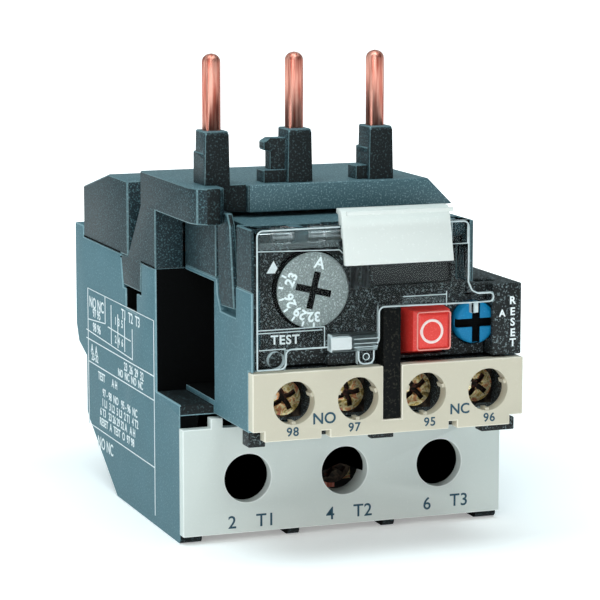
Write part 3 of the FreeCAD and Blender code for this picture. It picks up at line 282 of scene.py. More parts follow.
rolledLooks = {
    "springSteel": {"light": "#B9BBBD", "dark": "#8D9093", "roughness": 0.3},        # cool and bright
    "rolledBimetal": {"light": "#C2BCB0", "dark": "#9A958B", "roughness": 0.35},     # warm grey strip
    "brightBrass": {"light": "#E3C777", "dark": "#B99B4E", "roughness": 0.3},        # yellow, clean
    "heaterAlloy": {"light": "#A69C8E", "dark": "#766E64", "roughness": 0.4},        # dull, browned by heat
}
surfaces.update({name: rolledMetal(name, look) for name, look in rolledLooks.items()})


def clearPolycarbonate(name, look):
    # clear moulding: it shows by what it reflects, with faint flow marks that bend the highlights
    material, tree, place, shader = startMaterial(name)
    flow = addNode(tree, "ShaderNodeTexNoise", {"Scale": 1 / (5 * mm), "Detail": 1.0, "Vector": place})
    bump = addNode(tree, "ShaderNodeBump", {"Strength": 0.08, "Distance": 0.05 * mm, "Height": flow})
    # the IOR is lower than the real 1.58, so that the thin sheet doesn't double what is behind it
    setNode(tree, shader, {
        "Normal": bump, "Base Color": linearColour(look["colour"]), "Roughness": look["roughness"], "IOR": 1.14,
        "Transmission Weight": look["transmission"], "Alpha": look["opacity"]})
    return material


def clearEdge(name, dark, light):
    # cut and moulded edges of the clear sheet: a painted highlight, pale and streaked, where they gather light
    material, tree, place, shader = startMaterial(name)
    streak = addNode(tree, "ShaderNodeTexNoise", {"Scale": 1 / (1.5 * mm), "Detail": 2.0, "Vector": place})
    tone = addNode(tree, "ShaderNodeMix", {
        "data_type": "RGBA", mixShare: streak, mixFirst: linearColour(dark), mixSecond: linearColour(light)})
    setNode(tree, shader, {"Base Color": tone.outputs[mixOut], "Roughness": 0.2})
    return material


clearLooks = {
    "clearPolycarbonate": {"colour": "#F1F5F5", "roughness": 0.03, "opacity": 1.0, "transmission": 1.0},
    "frostedPolycarbonate": {"colour": "#B9C3C5", "roughness": 0.35, "opacity": 0.75, "transmission": 1.0},
    # thin grey veils where the moulding scatters light, and the latch where it catches the light
    "hazyPolycarbonate": {"colour": "#7E8B8D", "roughness": 0.35, "opacity": 0.1, "transmission": 0.0},
    "sunlitPolycarbonate": {"colour": "#E9EEEE", "roughness": 0.2, "opacity": 0.7, "transmission": 0.0},
}
surfaces.update({name: clearPolycarbonate(name, look) for name, look in clearLooks.items()})
surfaces["polycarbonateEdgeHighlight"] = clearEdge("polycarbonateEdgeHighlight", "#8FA2A6", "#DCE5E6")
print("materials:", len(surfaces))


def newObject(name, mesh):
    obj = bpy.data.objects.new(name, mesh)
    bpy.context.scene.collection.objects.link(obj)
    return obj


def newPiece(name, mesh, body, surface=None):
    # a piece at the origin, with its place in its mesh
    if surface:
        mesh.materials.append(surfaces[surface])
    mesh.name = name
    piece = newObject(name, mesh)
    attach(piece, body)
    return piece


def bodyOf(node):
    return frame["nodes"][node]["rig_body"]


def slotOf(node):
    for part in frame["record"]["subparts"]:
        if part["node"] == node:
            return part["material_slot"]


def smoothFaces(mesh, degrees=32):
    for polygon in mesh.polygons:
        polygon.use_smooth = True
    mesh.set_sharp_from_angle(angle=math.radians(degrees))


# an edge is rounded where it is sharper than sharpDegrees, and it and the faces beside it are this many widths long
# and deep; faces that turn by less than flatDegrees are merged first
rounding = {"sharpDegrees": 28, "flatDegrees": 0.6, "length": 2.6, "depth": 2.2}


def isRoomy(edge, width):
    length = edge.calc_length()
    if length < rounding["length"] * width:
        return False
    return all(face.calc_area() / max(length, 1e-9) >= rounding["depth"] * width for face in edge.link_faces)


# pale copies of each surface for the rounded edges: painted highlights
edgeHighlights = {
    "glassFilledPolyamideBlueGrey": "edgeHighlightBlueGrey", "glassFilledPolyamideSlate": "edgeHighlightSlate",
    "paleGreyPolycarbonate": "edgeHighlightPale", "ivoryPolycarbonate": "edgeHighlightIvory"}


def dress(node, surface, width):
    # a copy of a imported solid with its outer edges rounded, which stands for the solid; the rounded edges take the
    #     # painted highlight where its surface has one
    edge = edgeHighlights.get(surface)
    made = bmesh.new()
    made.from_mesh(frame["nodes"][node].data)
    bmesh.ops.remove_doubles(made, verts=made.verts, dist=1e-6)
    bmesh.ops.dissolve_limit(made, angle_limit=math.radians(rounding["flatDegrees"]), verts=made.verts,
                             edges=made.edges)
    least = math.radians(rounding["sharpDegrees"])
    sharp = [e for e in made.edges if len(e.link_faces) == 2 and e.calc_face_angle(0) > least and e.is_convex
             and isRoomy(e, width)]
    if sharp:
        bmesh.ops.bevel(
            made, geom=sharp, offset=width, offset_type="OFFSET", segments=2, profile=0.5, affect="EDGES",
            clamp_overlap=False, miter_outer="SHARP", material=1 if edge else -1)
    mesh = bpy.data.meshes.new(node + "Moulded")
    made.to_mesh(mesh)
    made.free()
    smoothFaces(mesh)
    piece = newPiece(node + "Moulded", mesh, bodyOf(node), surface)
    if edge:
        mesh.materials.append(surfaces[edge])
    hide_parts(node)
    return piece


def paint(mesh, surface, limits, disc=None):
    # another surface for the faces whose middle in mm (x, y, z) and normal (nx, ny, nz) lie within limits;
    # disc is the x, z and radius of a round field on the front
    index = mesh.materials.find(surface)
    if index < 0:
        index = len(mesh.materials)
        mesh.materials.append(surfaces[surface])
    for polygon in mesh.polygons:
        middle, normal = polygon.center / mm, polygon.normal
        found = {"x": middle.x, "y": middle.y, "z": middle.z, "nx": normal.x, "ny": normal.y, "nz": normal.z}
        inField = disc is None or math.hypot(middle.x - disc[0], middle.z - disc[1]) < disc[2]
        if inField and all(low < found[key] < high for key, (low, high) in limits.items()):
            polygon.material_index = index


# each moulded piece: surface and edge radius in mm
shell = {
    "lower_housing": ("glassFilledPolyamideBlueGrey", 0.22),
    "control_housing": ("glassFilledPolyamideBlueGrey", 0.18),
    "rear_cover": ("glassFilledPolyamideSlate", 0.3),
    "upper_cover": ("glassFilledPolyamideSlate", 0.22),
    "control_frame": ("glassFilledPolyamideSlate", 0.2),
    "control_fascia": ("glassFilledPolyamideBlack", 0.12),
    "reset_shroud": ("glassFilledPolyamideBlack", 0.2),
    "control_terminal_block": ("glassFilledPolyamideBlack", 0.12),
    "control_terminal_shroud": ("ivoryPolycarbonate", 0.16),
    "main_terminal_shroud": ("paleGreyPolycarbonate", 0.16),
    "marker_plate": ("whitePolystyrene", 0.12),
    "stop_button": ("redAcetal", 0.12),
    "reset_knob": ("blueAcetal", 0.1),
    "setting_dial": ("greyAcetal", 0.08),
    "test_button": ("glassFilledPolyamideBlack", 0.06),
}
shell.update({"connection_pin_%d" % number: ("drawnCopper", 0.12) for number in (1, 2, 3)})
dressed = {node: dress(node, surface, width * mm) for node, (surface, width) in shell.items()}

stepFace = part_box("control_housing")[1].y / mm + 0.3
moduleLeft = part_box("control_housing")[0].x / mm
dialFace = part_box("setting_dial")[0].y / mm
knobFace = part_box("reset_knob")[0].y / mm
coverTop, bandHeight, postRight = 58, 8.3, -17.5      # mm, on the upper cover's front
# fields of another surface on each piece, most of them painted shade or painted sheen, in the order in which they
# # are laid on
fields = {
    "lower_housing": [
        # the hollow beside the module and the wire chambers: painted shade inside
        ("shadedPolyamideBlack", {"y": (stepFace - 0.3, stepFace + 0.3), "z": (22.5, far), "ny": (-far, -0.9)}),
        ("shadedPolyamideBlack", {"x": (-25.4, 25.4), "y": (-19.2, -4), "z": (1.6, 19.5), "nz": (-0.5, far)}),
        # the feet, the ledge and the step under it: painted shade
        ("mattPolyamideSlate", {"y": (-far, -17), "z": (-far, 1.5), "ny": (-far, -0.3)}),
        ("mattPolyamideSlate", {"z": (22.4, 22.8), "nz": (0.9, far)}),
        ("mattPolyamideSlate", {"z": (19, 22.6), "ny": (-far, -0.9)}),
        # the snap window in the left wall: painted shade
        ("shadedPolyamideBlack", {"x": (-27.35, -25.6), "z": (32, 38.5)}),
    ],
    "control_housing": [
        # the module's wall and floor in the same hollow: painted shade
        ("shadedPolyamideBlack", {"x": (moduleLeft + 0.3, moduleLeft + 6), "y": (-21.4, far), "z": (22.7, far),
                                  "nz": (-far, 0.5)}),
        ("shadedPolyamideBlack", {"x": (-far, moduleLeft + 6), "y": (-38, far), "z": (-far, 24), "nz": (0.5, far)}),
    ],
    "upper_cover": [
        # top and front band get a painted sheen, post fronts painted shade, and the wall over the hollow is painted
        # black
        #         # as shade
        ("burnishedPolyamideSlate", {"z": (55, far), "nz": (0.9, far)}),
        ("burnishedPolyamideSlate", {"x": (postRight, far), "y": (-far, -20), "z": (coverTop - bandHeight, coverTop),
                                     "ny": (-far, -0.8)}),
        ("mattPolyamideSlate", {"y": (-far, -16), "z": (coverTop, far), "ny": (-far, -0.8)}),
        ("mattPolyamideSlate", {"x": (-far, postRight), "y": (-far, -16), "z": (coverTop - bandHeight, far),
                                "ny": (-far, -0.8)}),
        ("glassFilledPolyamideBlack", {"x": (-far, moduleLeft), "y": (-25, far), "z": (-far, 56),
                                       "ny": (-far, -0.9)}),
    ],
    # top faces of the frame and the rear cover: painted sheen
    "control_frame": [("burnishedPolyamideSlate", {"y": (-far, -29), "z": (50, far), "nz": (0.8, far)})],
    "rear_cover": [("burnishedPolyamideSlate", {"nz": (0.5, far)})],
    "control_fascia": [
        # the window insert and the centre rib
        ("polishedAbsBlack", {"x": (-1.6, 11.9), "y": (-36, far), "z": (42.5, 46.2), "ny": (-far, -0.9)}),
        ("wornPolyamideBlack", {"x": (-2.4, 2.0), "y": (-far, -36.4), "z": (-far, 36)}),
    ],
    # bottoms of the screwdriver slots: painted shade
    "setting_dial": [("shadedPolyamideBlack", {"y": (dialFace + 0.35, dialFace + 1.0)})],
    "reset_knob": [("shadedPolyamideBlack", {"y": (knobFace + 0.35, knobFace + 1.1)}, (15.2, 36.4, 3.2))],
}
for node, rows in fields.items():
    for row in rows:
        paint(dressed[node].data, *row)

# the stop button's cap is drawn in from its guide skirt and has a broad chamfer round its face
stopCap = {"depth": 3.5, "skirtMiddle": (6.9, 35.65), "middle": (7.3, 35.75), "share": (0.87, 0.85),
           "chamferDepth": 0.3, "divide": (6, 35), "chamferLeft": 0.55, "chamferRight": 0.15, "chamferEnds": 0.2}
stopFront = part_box("stop_button")[0].y
for vert in dressed["stop_button"].data.vertices:
    across, up = vert.co.x / mm, vert.co.z / mm
    if vert.co.y < stopFront + stopCap["depth"] * mm:
        across, up = (stopCap["middle"][i] + (value - stopCap["skirtMiddle"][i]) * stopCap["share"][i]
                      for i, value in enumerate((across, up)))
    if vert.co.y < stopFront + stopCap["chamferDepth"] * mm:
        across += stopCap["chamferLeft"] if across < stopCap["divide"][0] else -stopCap["chamferRight"]
        up += stopCap["chamferEnds"] if up < stopCap["divide"][1] else -stopCap["chamferEnds"]
    vert.co.x, vert.co.z = across * mm, up * mm

# dome height and radius of its flat in mm, and where rings of points are cut into the dome
pinTip = {"reach": 1.3, "flat": 0.12, "rings": (0.0, 0.3, 0.55, 0.75, 0.9)}


def roundTip(mesh):
    # turns the top of a pin into a dome with a small flat
    reach, flat = pinTip["reach"] * mm, pinTip["flat"] * mm
    start = max(v.co.z for v in mesh.vertices) - reach
    made = bmesh.new()
    made.from_mesh(mesh)
    for ring in pinTip["rings"]:
        bmesh.ops.bisect_plane(
            made, geom=made.verts[:] + made.edges[:] + made.faces[:], dist=1e-7,
            plane_co=(0, 0, start + reach * ring), plane_no=(0, 0, 1))
    tip = [v for v in made.verts if v.co.z > start - 1e-6]
    middle = Vector((sum(v.co.x for v in tip), sum(v.co.y for v in tip), 0)) / len(tip)
    full = max((v.co.xy - middle.xy).length for v in tip)
    for vert in tip:
        out = vert.co.xy - middle.xy
        limit = full * math.sqrt(max(0.0, 1 - min(1.0, (vert.co.z - start) / reach) ** 2))
        if out.length > max(limit, flat):
            vert.co.x, vert.co.y = middle.xy + out.normalized() * max(limit, flat)
    made.to_mesh(mesh)
    made.free()
    smoothFaces(mesh, 35)


for number in (1, 2, 3):
    roundTip(dressed["connection_pin_%d" % number].data)

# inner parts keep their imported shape
inside = {
    "push_bar": "naturalAcetal", "hold_bar": "naturalAcetal", "trip_lever": "naturalAcetal",
    "contact_carrier": "naturalAcetal", "setting_cam": "naturalAcetal", "lever_pivot_pin": "springSteel",
    "cover_hinge_pin": "springSteel", "stop_spring": "springSteel", "reset_spring": "springSteel",
    "compensator_lever": "rolledBimetal", "reset_plunger": "glassFilledPolyamideBlack", "nc_bridge": "brightBrass",
    "no_bridge": "brightBrass",
}
perPole = {"bimetal": "rolledBimetal", "heater": "heaterAlloy", "load_bar": "drawnCopper",
           "terminal_cage": "yellowZincSteel"}
perContact = {"contact_terminal": "brightBrass", "clamp_washer": "brownedShadedSteel"}
for kinds, numbers in ((perPole, (1, 2, 3)), (perContact, (95, 96, 97, 98))):
    inside.update({"%s_%d" % (kind, number): surface for number in numbers for kind, surface in kinds.items()})
for node, surface in inside.items():
    mesh = frame["nodes"][node].data
    mesh.materials.clear()
    mesh.materials.append(surfaces[surface])

# the two return springs are copied as they are, not squeezed: the joint that pushes each and its travel in mm
springs = {"stop_spring": ("stop_button_press", 1.8), "reset_spring": ("reset_press", 1.2)}
for node, (joint, travel) in springs.items():
    coil = newPiece(node + "Coil", frame["nodes"][node].data.copy(), bodyOf(node))
    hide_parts(node)
    low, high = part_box(node)
    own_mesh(coil)
print("moulded pieces:", len(shell), "inner pieces:", len(inside))


def startTree(name, sizes):
    # a geometry tree with one named input for each size, and its surface
    tree = bpy.data.node_groups.new(name, "GeometryNodeTree")
    tree.interface.new_socket("Geometry", in_out="INPUT", socket_type="NodeSocketGeometry")
    for label, value in sizes.items():
        kind = "NodeSocketInt" if isinstance(value, int) else "NodeSocketFloat"
        tree.interface.new_socket(label, in_out="INPUT", socket_type=kind).default_value = value
    tree.interface.new_socket("Surface", in_out="INPUT", socket_type="NodeSocketMaterial")
    tree.interface.new_socket("Geometry", in_out="OUTPUT", socket_type="NodeSocketGeometry")
    return tree, addNode(tree, "NodeGroupInput", {}).outputs


def endTree(tree, given, shape):
    real = addNode(tree, "GeometryNodeRealizeInstances", {"Geometry": shape})
    coated = addNode(tree, "GeometryNodeSetMaterial", {"Geometry": real, "Material": given["Surface"]})
    addNode(tree, "NodeGroupOutput", {"Geometry": coated})
    return tree


def finishedMesh(obj):
    # the plain mesh that an object ends up as; the object itself goes
    bpy.context.view_layer.update()
    mesh = bpy.data.meshes.new_from_object(obj.evaluated_get(bpy.context.evaluated_depsgraph_get()))
    bpy.data.objects.remove(obj)
    return mesh


def grown(name, base, tree, values, surface, body, edges=()):
    # runs a tree over a few base points or lines and keeps the result as a plain mesh
    start = bpy.data.meshes.new(name)
    start.from_pydata([tuple(point) for point in base], list(edges), [])
    seed = newObject(name + "Seed", start)
    modifier = seed.modifiers.new("grow", "NODES")
    modifier.node_group = tree
    for item in tree.interface.items_tree:
        if item.in_out == "INPUT" and item.name in values:
            modifier[item.identifier] = values[item.name]
        if item.in_out == "INPUT" and item.name == "Surface":
            modifier[item.identifier] = surfaces[surface]
    mesh = finishedMesh(seed)
    smoothFaces(mesh, 40)
    return newPiece(name, mesh, body)


def beadTree():
    # a thin bead run along a line, with its corners rounded
    tree, given = startTree("bead", {"Radius": 0.15 * mm, "Corner": 0.0, "Sides": 6})
    line = addNode(tree, "GeometryNodeMeshToCurve", {"Mesh": given["Geometry"]})
    soft = addNode(tree, "GeometryNodeFilletCurve", {
        "mode": "POLY", "Count": 5, "Limit Radius": True, "Curve": line, "Radius": given["Corner"]})
    profile = addNode(tree, "GeometryNodeCurvePrimitiveCircle", {
        "Resolution": given["Sides"], "Radius": given["Radius"]})
    return endTree(tree, given, addNode(tree, "GeometryNodeCurveToMesh", {
        "Fill Caps": True, "Curve": soft, "Profile Curve": profile}))


def tickTree():
    # graduations spread evenly over an arc on the front of a dial
    tree, given = startTree("graduation", {
        "Count": 7, "Start": 0.0, "Step": 0.1, "Radius": 5 * mm, "Length": 1 * mm, "Width": 0.3 * mm,
        "Thickness": 0.04 * mm})
    size = addNode(tree, "ShaderNodeCombineXYZ", {"X": given["Length"], "Y": given["Thickness"], "Z": given["Width"]})
    bar = addNode(tree, "GeometryNodeMeshCube", {"Size": size})
    reach = addNode(tree, "ShaderNodeCombineXYZ", {"X": given["Radius"]})
    tick = addNode(tree, "GeometryNodeTransform", {"Geometry": bar, "Translation": reach})
    angle = addNode(tree, "ShaderNodeMath", {
        "operation": "MULTIPLY_ADD", 0: addNode(tree, "GeometryNodeInputIndex", {}), 1: given["Step"],
        2: given["Start"]})
    turn = addNode(tree, "ShaderNodeVectorMath", {"operation": "SCALE", 0: (0, -1, 0), "Scale": angle})
    places = addNode(tree, "GeometryNodeMeshLine", {"Offset": (0, 0, 0), "Count": given["Count"]})
    ticks = addNode(tree, "GeometryNodeInstanceOnPoints", {"Points": places, "Instance": tick, "Rotation": turn})
    return endTree(tree, given, addNode(tree, "GeometryNodeInstanceOnPoints", {
        "Points": given["Geometry"], "Instance": ticks}))


def nubTree(angles):
    # small moulded nubs that stand into a round well
    tree, given = startTree("wellNub", {"Radius": 3.3 * mm, "Length": 1 * mm, "Width": 0.7 * mm, "Depth": 2 * mm})
    size = addNode(tree, "ShaderNodeCombineXYZ", {"X": given["Length"], "Y": given["Depth"], "Z": given["Width"]})
    block = addNode(tree, "GeometryNodeMeshCube", {"Size": size})
    reach = addNode(tree, "ShaderNodeCombineXYZ", {"X": given["Radius"]})
    nub = addNode(tree, "GeometryNodeTransform", {"Geometry": block, "Translation": reach})
    nubs = [addNode(tree, "GeometryNodeTransform", {"Geometry": nub, "Rotation": (0, -math.radians(angle), 0)})
            for angle in angles]
    well = addNode(tree, "GeometryNodeJoinGeometry", {"Geometry": nubs})
    return endTree(tree, given, addNode(tree, "GeometryNodeInstanceOnPoints", {
        "Points": given["Geometry"], "Instance": well}))


def screwTree():
    # domed head with a cross recess, shank and rolled thread; the base point is the middle of the head's front
    tree, given = startTree("crossHeadScrew", {
        "Head Radius": 2.8 * mm, "Head Height": 1.8 * mm, "Dome": 0.4 * mm, "Slot Length": 3.8 * mm,
        "Slot Width": 0.8 * mm, "Slot Depth": 1.0 * mm, "Turn": 0.0, "Shank Radius": 1.4 * mm,
        "Shank Length": 6 * mm, "Thread Turns": 8.0, "Thread Depth": 0.2 * mm})
    # head: its front rim falls away from the middle by the square of the distance
    blank = addNode(tree, "GeometryNodeMeshCylinder", {
        "fill_type": "TRIANGLE_FAN", "Vertices": 48, "Side Segments": 2, "Fill Segments": 6,
        "Radius": given["Head Radius"], "Depth": given["Head Height"]})
    sink = addNode(tree, "ShaderNodeVectorMath", {
        "operation": "SCALE", 0: (0, 0, -0.5), "Scale": given["Head Height"]})
    sunk = addNode(tree, "GeometryNodeTransform", {"Geometry": blank, "Translation": sink})
    position = addNode(tree, "GeometryNodeInputPosition", {})
    height = addNode(tree, "ShaderNodeSeparateXYZ", {"Vector": position}).outputs["Z"]
    onTop = addNode(tree, "ShaderNodeMath", {"operation": "GREATER_THAN", 0: height, 1: -0.01 * mm})
    across = addNode(tree, "ShaderNodeVectorMath", {"operation": "MULTIPLY", 0: position, 1: (1, 1, 0)})
    share = addNode(tree, "ShaderNodeVectorMath", {"operation": "DIVIDE", 0: across, 1: given["Head Radius"]})
    square = addNode(tree, "ShaderNodeVectorMath", {"operation": "DOT_PRODUCT", 0: share, 1: share}).outputs["Value"]
    fall = addNode(tree, "ShaderNodeMath", {"operation": "MULTIPLY", 0: square, 1: given["Dome"]})
    drop = addNode(tree, "ShaderNodeVectorMath", {"operation": "SCALE", 0: (0, 0, -1), "Scale": fall})
    domed = addNode(tree, "GeometryNodeSetPosition", {"Geometry": sunk, "Offset": drop, "Selection": onTop})
    # cross recess: two arms and a pit that narrows downwards
    armSize = addNode(tree, "ShaderNodeCombineXYZ", {
        "X": given["Slot Length"], "Y": given["Slot Width"], "Z": given["Slot Depth"]})
    through = addNode(tree, "ShaderNodeVectorMath", {"operation": "MULTIPLY", 0: armSize, 1: (1, 1, 2)})
    arm = addNode(tree, "GeometryNodeMeshCube", {"Size": through})
    cutters = []
    for quarter in (0.0, math.pi / 2):
        angle = addNode(tree, "ShaderNodeMath", {"operation": "ADD", 0: given["Turn"], 1: quarter})
        turn = addNode(tree, "ShaderNodeCombineXYZ", {"Z": angle})
        cutters.append(addNode(tree, "GeometryNodeTransform", {"Geometry": arm, "Rotation": turn}))
    cone = addNode(tree, "GeometryNodeMeshCone", {
        "Vertices": 12, "Radius Bottom": 1.3, "Radius Top": 0.4, "Depth": 1.0})
    pitSize = addNode(tree, "ShaderNodeCombineXYZ", {
        "X": given["Slot Width"], "Y": given["Slot Width"], "Z": given["Slot Depth"]})
    cutters.append(addNode(tree, "GeometryNodeTransform", {
        "Geometry": cone, "Rotation": (math.pi, 0, 0), "Scale": pitSize}))
    head = addNode(tree, "GeometryNodeMeshBoolean", {
        "operation": "DIFFERENCE", "solver": "EXACT", "Self Intersection": True, "Mesh 1": domed,
        "Mesh 2": cutters})
    # shank and thread, built up from the tip and then lowered behind the head, which the shank runs 0.1 mm into
    coreLength = addNode(tree, "ShaderNodeMath", {"operation": "ADD", 0: given["Shank Length"], 1: 0.2 * mm})
    core = addNode(tree, "GeometryNodeMeshCylinder", {
        "Vertices": 24, "Radius": given["Shank Radius"], "Depth": coreLength})
    halfway = addNode(tree, "ShaderNodeVectorMath", {
        "operation": "SCALE", 0: (0, 0, 0.5), "Scale": given["Shank Length"]})
    shank = addNode(tree, "GeometryNodeTransform", {"Geometry": core, "Translation": halfway})
    # the thread stops short of the head
    threaded = addNode(tree, "ShaderNodeMath", {"operation": "MULTIPLY", 0: given["Shank Length"], 1: 0.92})
    helix = addNode(tree, "GeometryNodeCurveSpiral", {
        "Resolution": 14, "Rotations": given["Thread Turns"], "Start Radius": given["Shank Radius"],
        "End Radius": given["Shank Radius"], "Height": threaded})
    ridge = addNode(tree, "GeometryNodeCurvePrimitiveCircle", {"Resolution": 3, "Radius": given["Thread Depth"]})
    thread = addNode(tree, "GeometryNodeCurveToMesh", {"Fill Caps": True, "Curve": helix, "Profile Curve": ridge})
    stem = addNode(tree, "GeometryNodeJoinGeometry", {"Geometry": [shank, thread]})
    whole = addNode(tree, "ShaderNodeMath", {"operation": "ADD", 0: given["Head Height"], 1: given["Shank Length"]})
    below = addNode(tree, "ShaderNodeVectorMath", {"operation": "SCALE", 0: (0, 0, -1), "Scale": whole})
    lowered = addNode(tree, "GeometryNodeTransform", {"Geometry": stem, "Translation": below})
    screwShape = addNode(tree, "GeometryNodeJoinGeometry", {"Geometry": [head, lowered]})
    return endTree(tree, given, addNode(tree, "GeometryNodeInstanceOnPoints", {
        "Rotation": (math.pi / 2, 0, 0), "Points": given["Geometry"], "Instance": screwShape}))


bead, graduation, wellNub, crossHeadScrew = beadTree(), tickTree(), nubTree((20, 160, 270)), screwTree()


def onFront(y, points):
    return [(x * mm, y * mm, z * mm) for x, z in points]


def ring(x, z, y, radius, count=28):
    turns = [2 * math.pi * i / count for i in range(count)]
    return onFront(y, [(x + radius * math.cos(turn), z + radius * math.sin(turn)) for turn in turns])


def beads(name, lines, rings, width, corner, surface, body, slot):
    # open lines and closed rings of points in metres, all in one piece
    points, edges = [], []
    for closed, group in ((False, lines), (True, rings)):
        for line in group:
            first, last = len(points), len(points) + len(line) - 1
            edges += [(i, i + 1) for i in range(first, last)] + ([(last, first)] if closed else [])
            points += line
    return grown(name, points, bead, {"Radius": width * mm / 2, "Corner": corner * mm}, surface, body, edges)


# screws: sizes in mm, and how far each one is turned in degrees
screwKinds = {
    "control_screw": {"surface": "yellowZincSteel", "turns": {98: 28, 97: 12, 95: 38, 96: 52}, "Thread Turns": 9.0,
                      "sizes": {"Head Radius": 2.8, "Head Height": 1.75, "Dome": 0.55, "Slot Length": 4.1,
                                "Slot Width": 0.8, "Slot Depth": 1.1, "Shank Radius": 1.25, "Thread Depth": 0.22}},
    "terminal_screw": {"surface": "brownedShadedSteel", "turns": {1: 35, 2: 60, 3: 20}, "Thread Turns": 6.0,
                       "sizes": {"Head Radius": 3.3, "Head Height": 2.3, "Dome": 0.5, "Slot Length": 4.8,
                                 "Slot Width": 1.0, "Slot Depth": 1.3, "Shank Radius": 1.85, "Thread Depth": 0.3}},
}


def middleFront(node):
    low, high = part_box(node)
    return Vector(((low.x + high.x) / 2, low.y, (low.z + high.z) / 2))


def screw(node, kind, turn):
    low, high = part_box(node)
    sizes = kind["sizes"]
    head = middleFront(node) + Vector((0, 0.02 * mm, 0))
    values = {label: size * mm for label, size in sizes.items()}
    values.update({
        "Turn": math.radians(turn), "Thread Turns": kind["Thread Turns"],
        "Shank Length": high.y - low.y - (sizes["Head Height"] + 0.1) * mm})
    piece = grown(node + "Threaded", [head], crossHeadScrew, values, kind["surface"], bodyOf(node))
    front = head.y / mm
    # the walls and floors of the cross recess are painted dark as shade
    paint(piece.data, "shadedSlotSteel", {"y": (front + sizes["Dome"] * 0.7, front + sizes["Slot Depth"] + 0.1)},
          (head.x / mm, head.z / mm, sizes["Slot Length"] / 2 + 0.1))
    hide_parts(node)


for kindName, kind in screwKinds.items():
    for number, turn in kind["turns"].items():
        screw("%s_%d" % (kindName, number), kind, turn)

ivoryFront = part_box("control_terminal_shroud")[0].y
nub = {"Radius": 3.36 * mm, "Length": 0.84 * mm, "Width": 0.65 * mm, "Depth": 1.9 * mm}
nubY = ivoryFront + 0.25 * mm + nub["Depth"] / 2
wells = [middleFront("control_screw_%d" % number) for number in screwKinds["control_screw"]["turns"]]
grown("wellNubs", [(well.x, nubY, well.z) for well in wells], wellNub, nub, "ivoryPolycarbonate", "housing")
print("screws and nubs: done")

# clear cover: its edges carry a painted highlight, but not the latch's, and what stands proud of the front has a
# # painted highlight on the left and is frosted on the right
front = ivoryFront / mm
clearCover = dress("clear_cover", "clearPolycarbonate", 0.15 * mm)
clearCover.visible_shadow = False
rim = {"y": (front - 0.1, front + 1.3), "z": (-far, 52), "ny": (-0.3, 0.3)}
coverFields = [
    ("polycarbonateEdgeHighlight", rim),
    ("clearPolycarbonate", dict(rim, x=(-10.6, -2.6), z=(33.5, 36.6))),
    ("polycarbonateEdgeHighlight", {"x": (-far, -6.8), "y": (-far, front - 0.05), "z": (33, far)}),
    ("frostedPolycarbonate", {"x": (-6.8, far), "y": (-far, front - 0.05), "z": (33, far)}),
]
for surface, limits in coverFields:
    paint(clearCover.data, surface, limits)

coverLines = {
    "outline": [[(-21.75, 31.45), (-21.75, 52.65), (-8.4, 52.75)],
                [(9.7, 52.75), (12.95, 52.75), (12.95, 43.2), (13.6, 41.85), (14.6, 41.35), (17.25, 41.35),
                 (17.25, 40.0), (13.5, 39.95), (-1.95, 40.1), (-1.95, 34.4), (-2.7, 34.3)],
                [(-10.3, 34.35), (-17.15, 34.35), (-17.15, 31.4), (-21.75, 31.4)],
                [(-2.8, 34.3), (-2.8, 31.4), (-5.3, 31.4), (-5.3, 34.3)]],
    "fine": [[(-21.6, 49.55), (-8.5, 49.25), (-7.8, 48.6)], [(-21.6, 37.5), (-10.9, 37.55)],
             [(-21.6, 37.05), (-11.3, 37.1)], [(-10.9, 37.5), (-10.9, 34.5)], [(-21.5, 34.45), (-17.2, 34.5)],
             [(1.98, 41.5), (9.3, 41.5)], [(9.3, 42.0), (9.3, 39.7)], [(12.75, 49.25), (12.75, 52.5)],
             [(-5.3, 33.8), (-2.9, 33.8)], [(10.1, 52.6), (10.1, 49.3), (12.7, 49.3)]],
    "latch": [[(-6.7, z), (-2.8, z + 0.03)] for z in (34.35, 34.9, 35.6)],
}
face = front - 0.03
cover = ("clear_cover", "clear_plastic")      # body and slot
beads("coverEdge", [onFront(face, line) for line in coverLines["outline"]], [], 0.26, 0.9, "polycarbonateEdgeHighlight",
      *cover)
beads("coverRib", [onFront(face, line) for line in coverLines["fine"]], [ring(-4.05, 32.5, face, 0.5)], 0.17, 0.0,
      "polycarbonateEdgeHighlight", *cover)
beads("coverBoss", [], [ring(-19.72, 33.1, face, 0.95), ring(14.2, 40.65, face, 0.5)], 0.2, 0.0, "hazyPolycarbonate",
      *cover)
beads("latchRib", [onFront(front - 1.72, line) for line in coverLines["latch"]], [], 0.14, 0.0, "polycarbonateEdgeHighlight",
      *cover)


def slab(name, x, y, z, surface, body, slot, soft=0.08):
    # small moulded block between limits in mm, with rounded edges
    made = bmesh.new()
    bmesh.ops.create_cube(made, size=1.0)
    for vert in made.verts:
        sides = zip(vert.co, (x, y, z))
        vert.co = Vector([(low + high) / 2 + part * (high - low) for part, (low, high) in sides]) * mm
    bmesh.ops.bevel(made, geom=list(made.edges), offset=soft * mm, segments=2, affect="EDGES", profile=0.5)
    mesh = bpy.data.meshes.new(name)
    made.to_mesh(mesh)
    made.free()
    smoothFaces(mesh)
    return newPiece(name, mesh, body, surface)


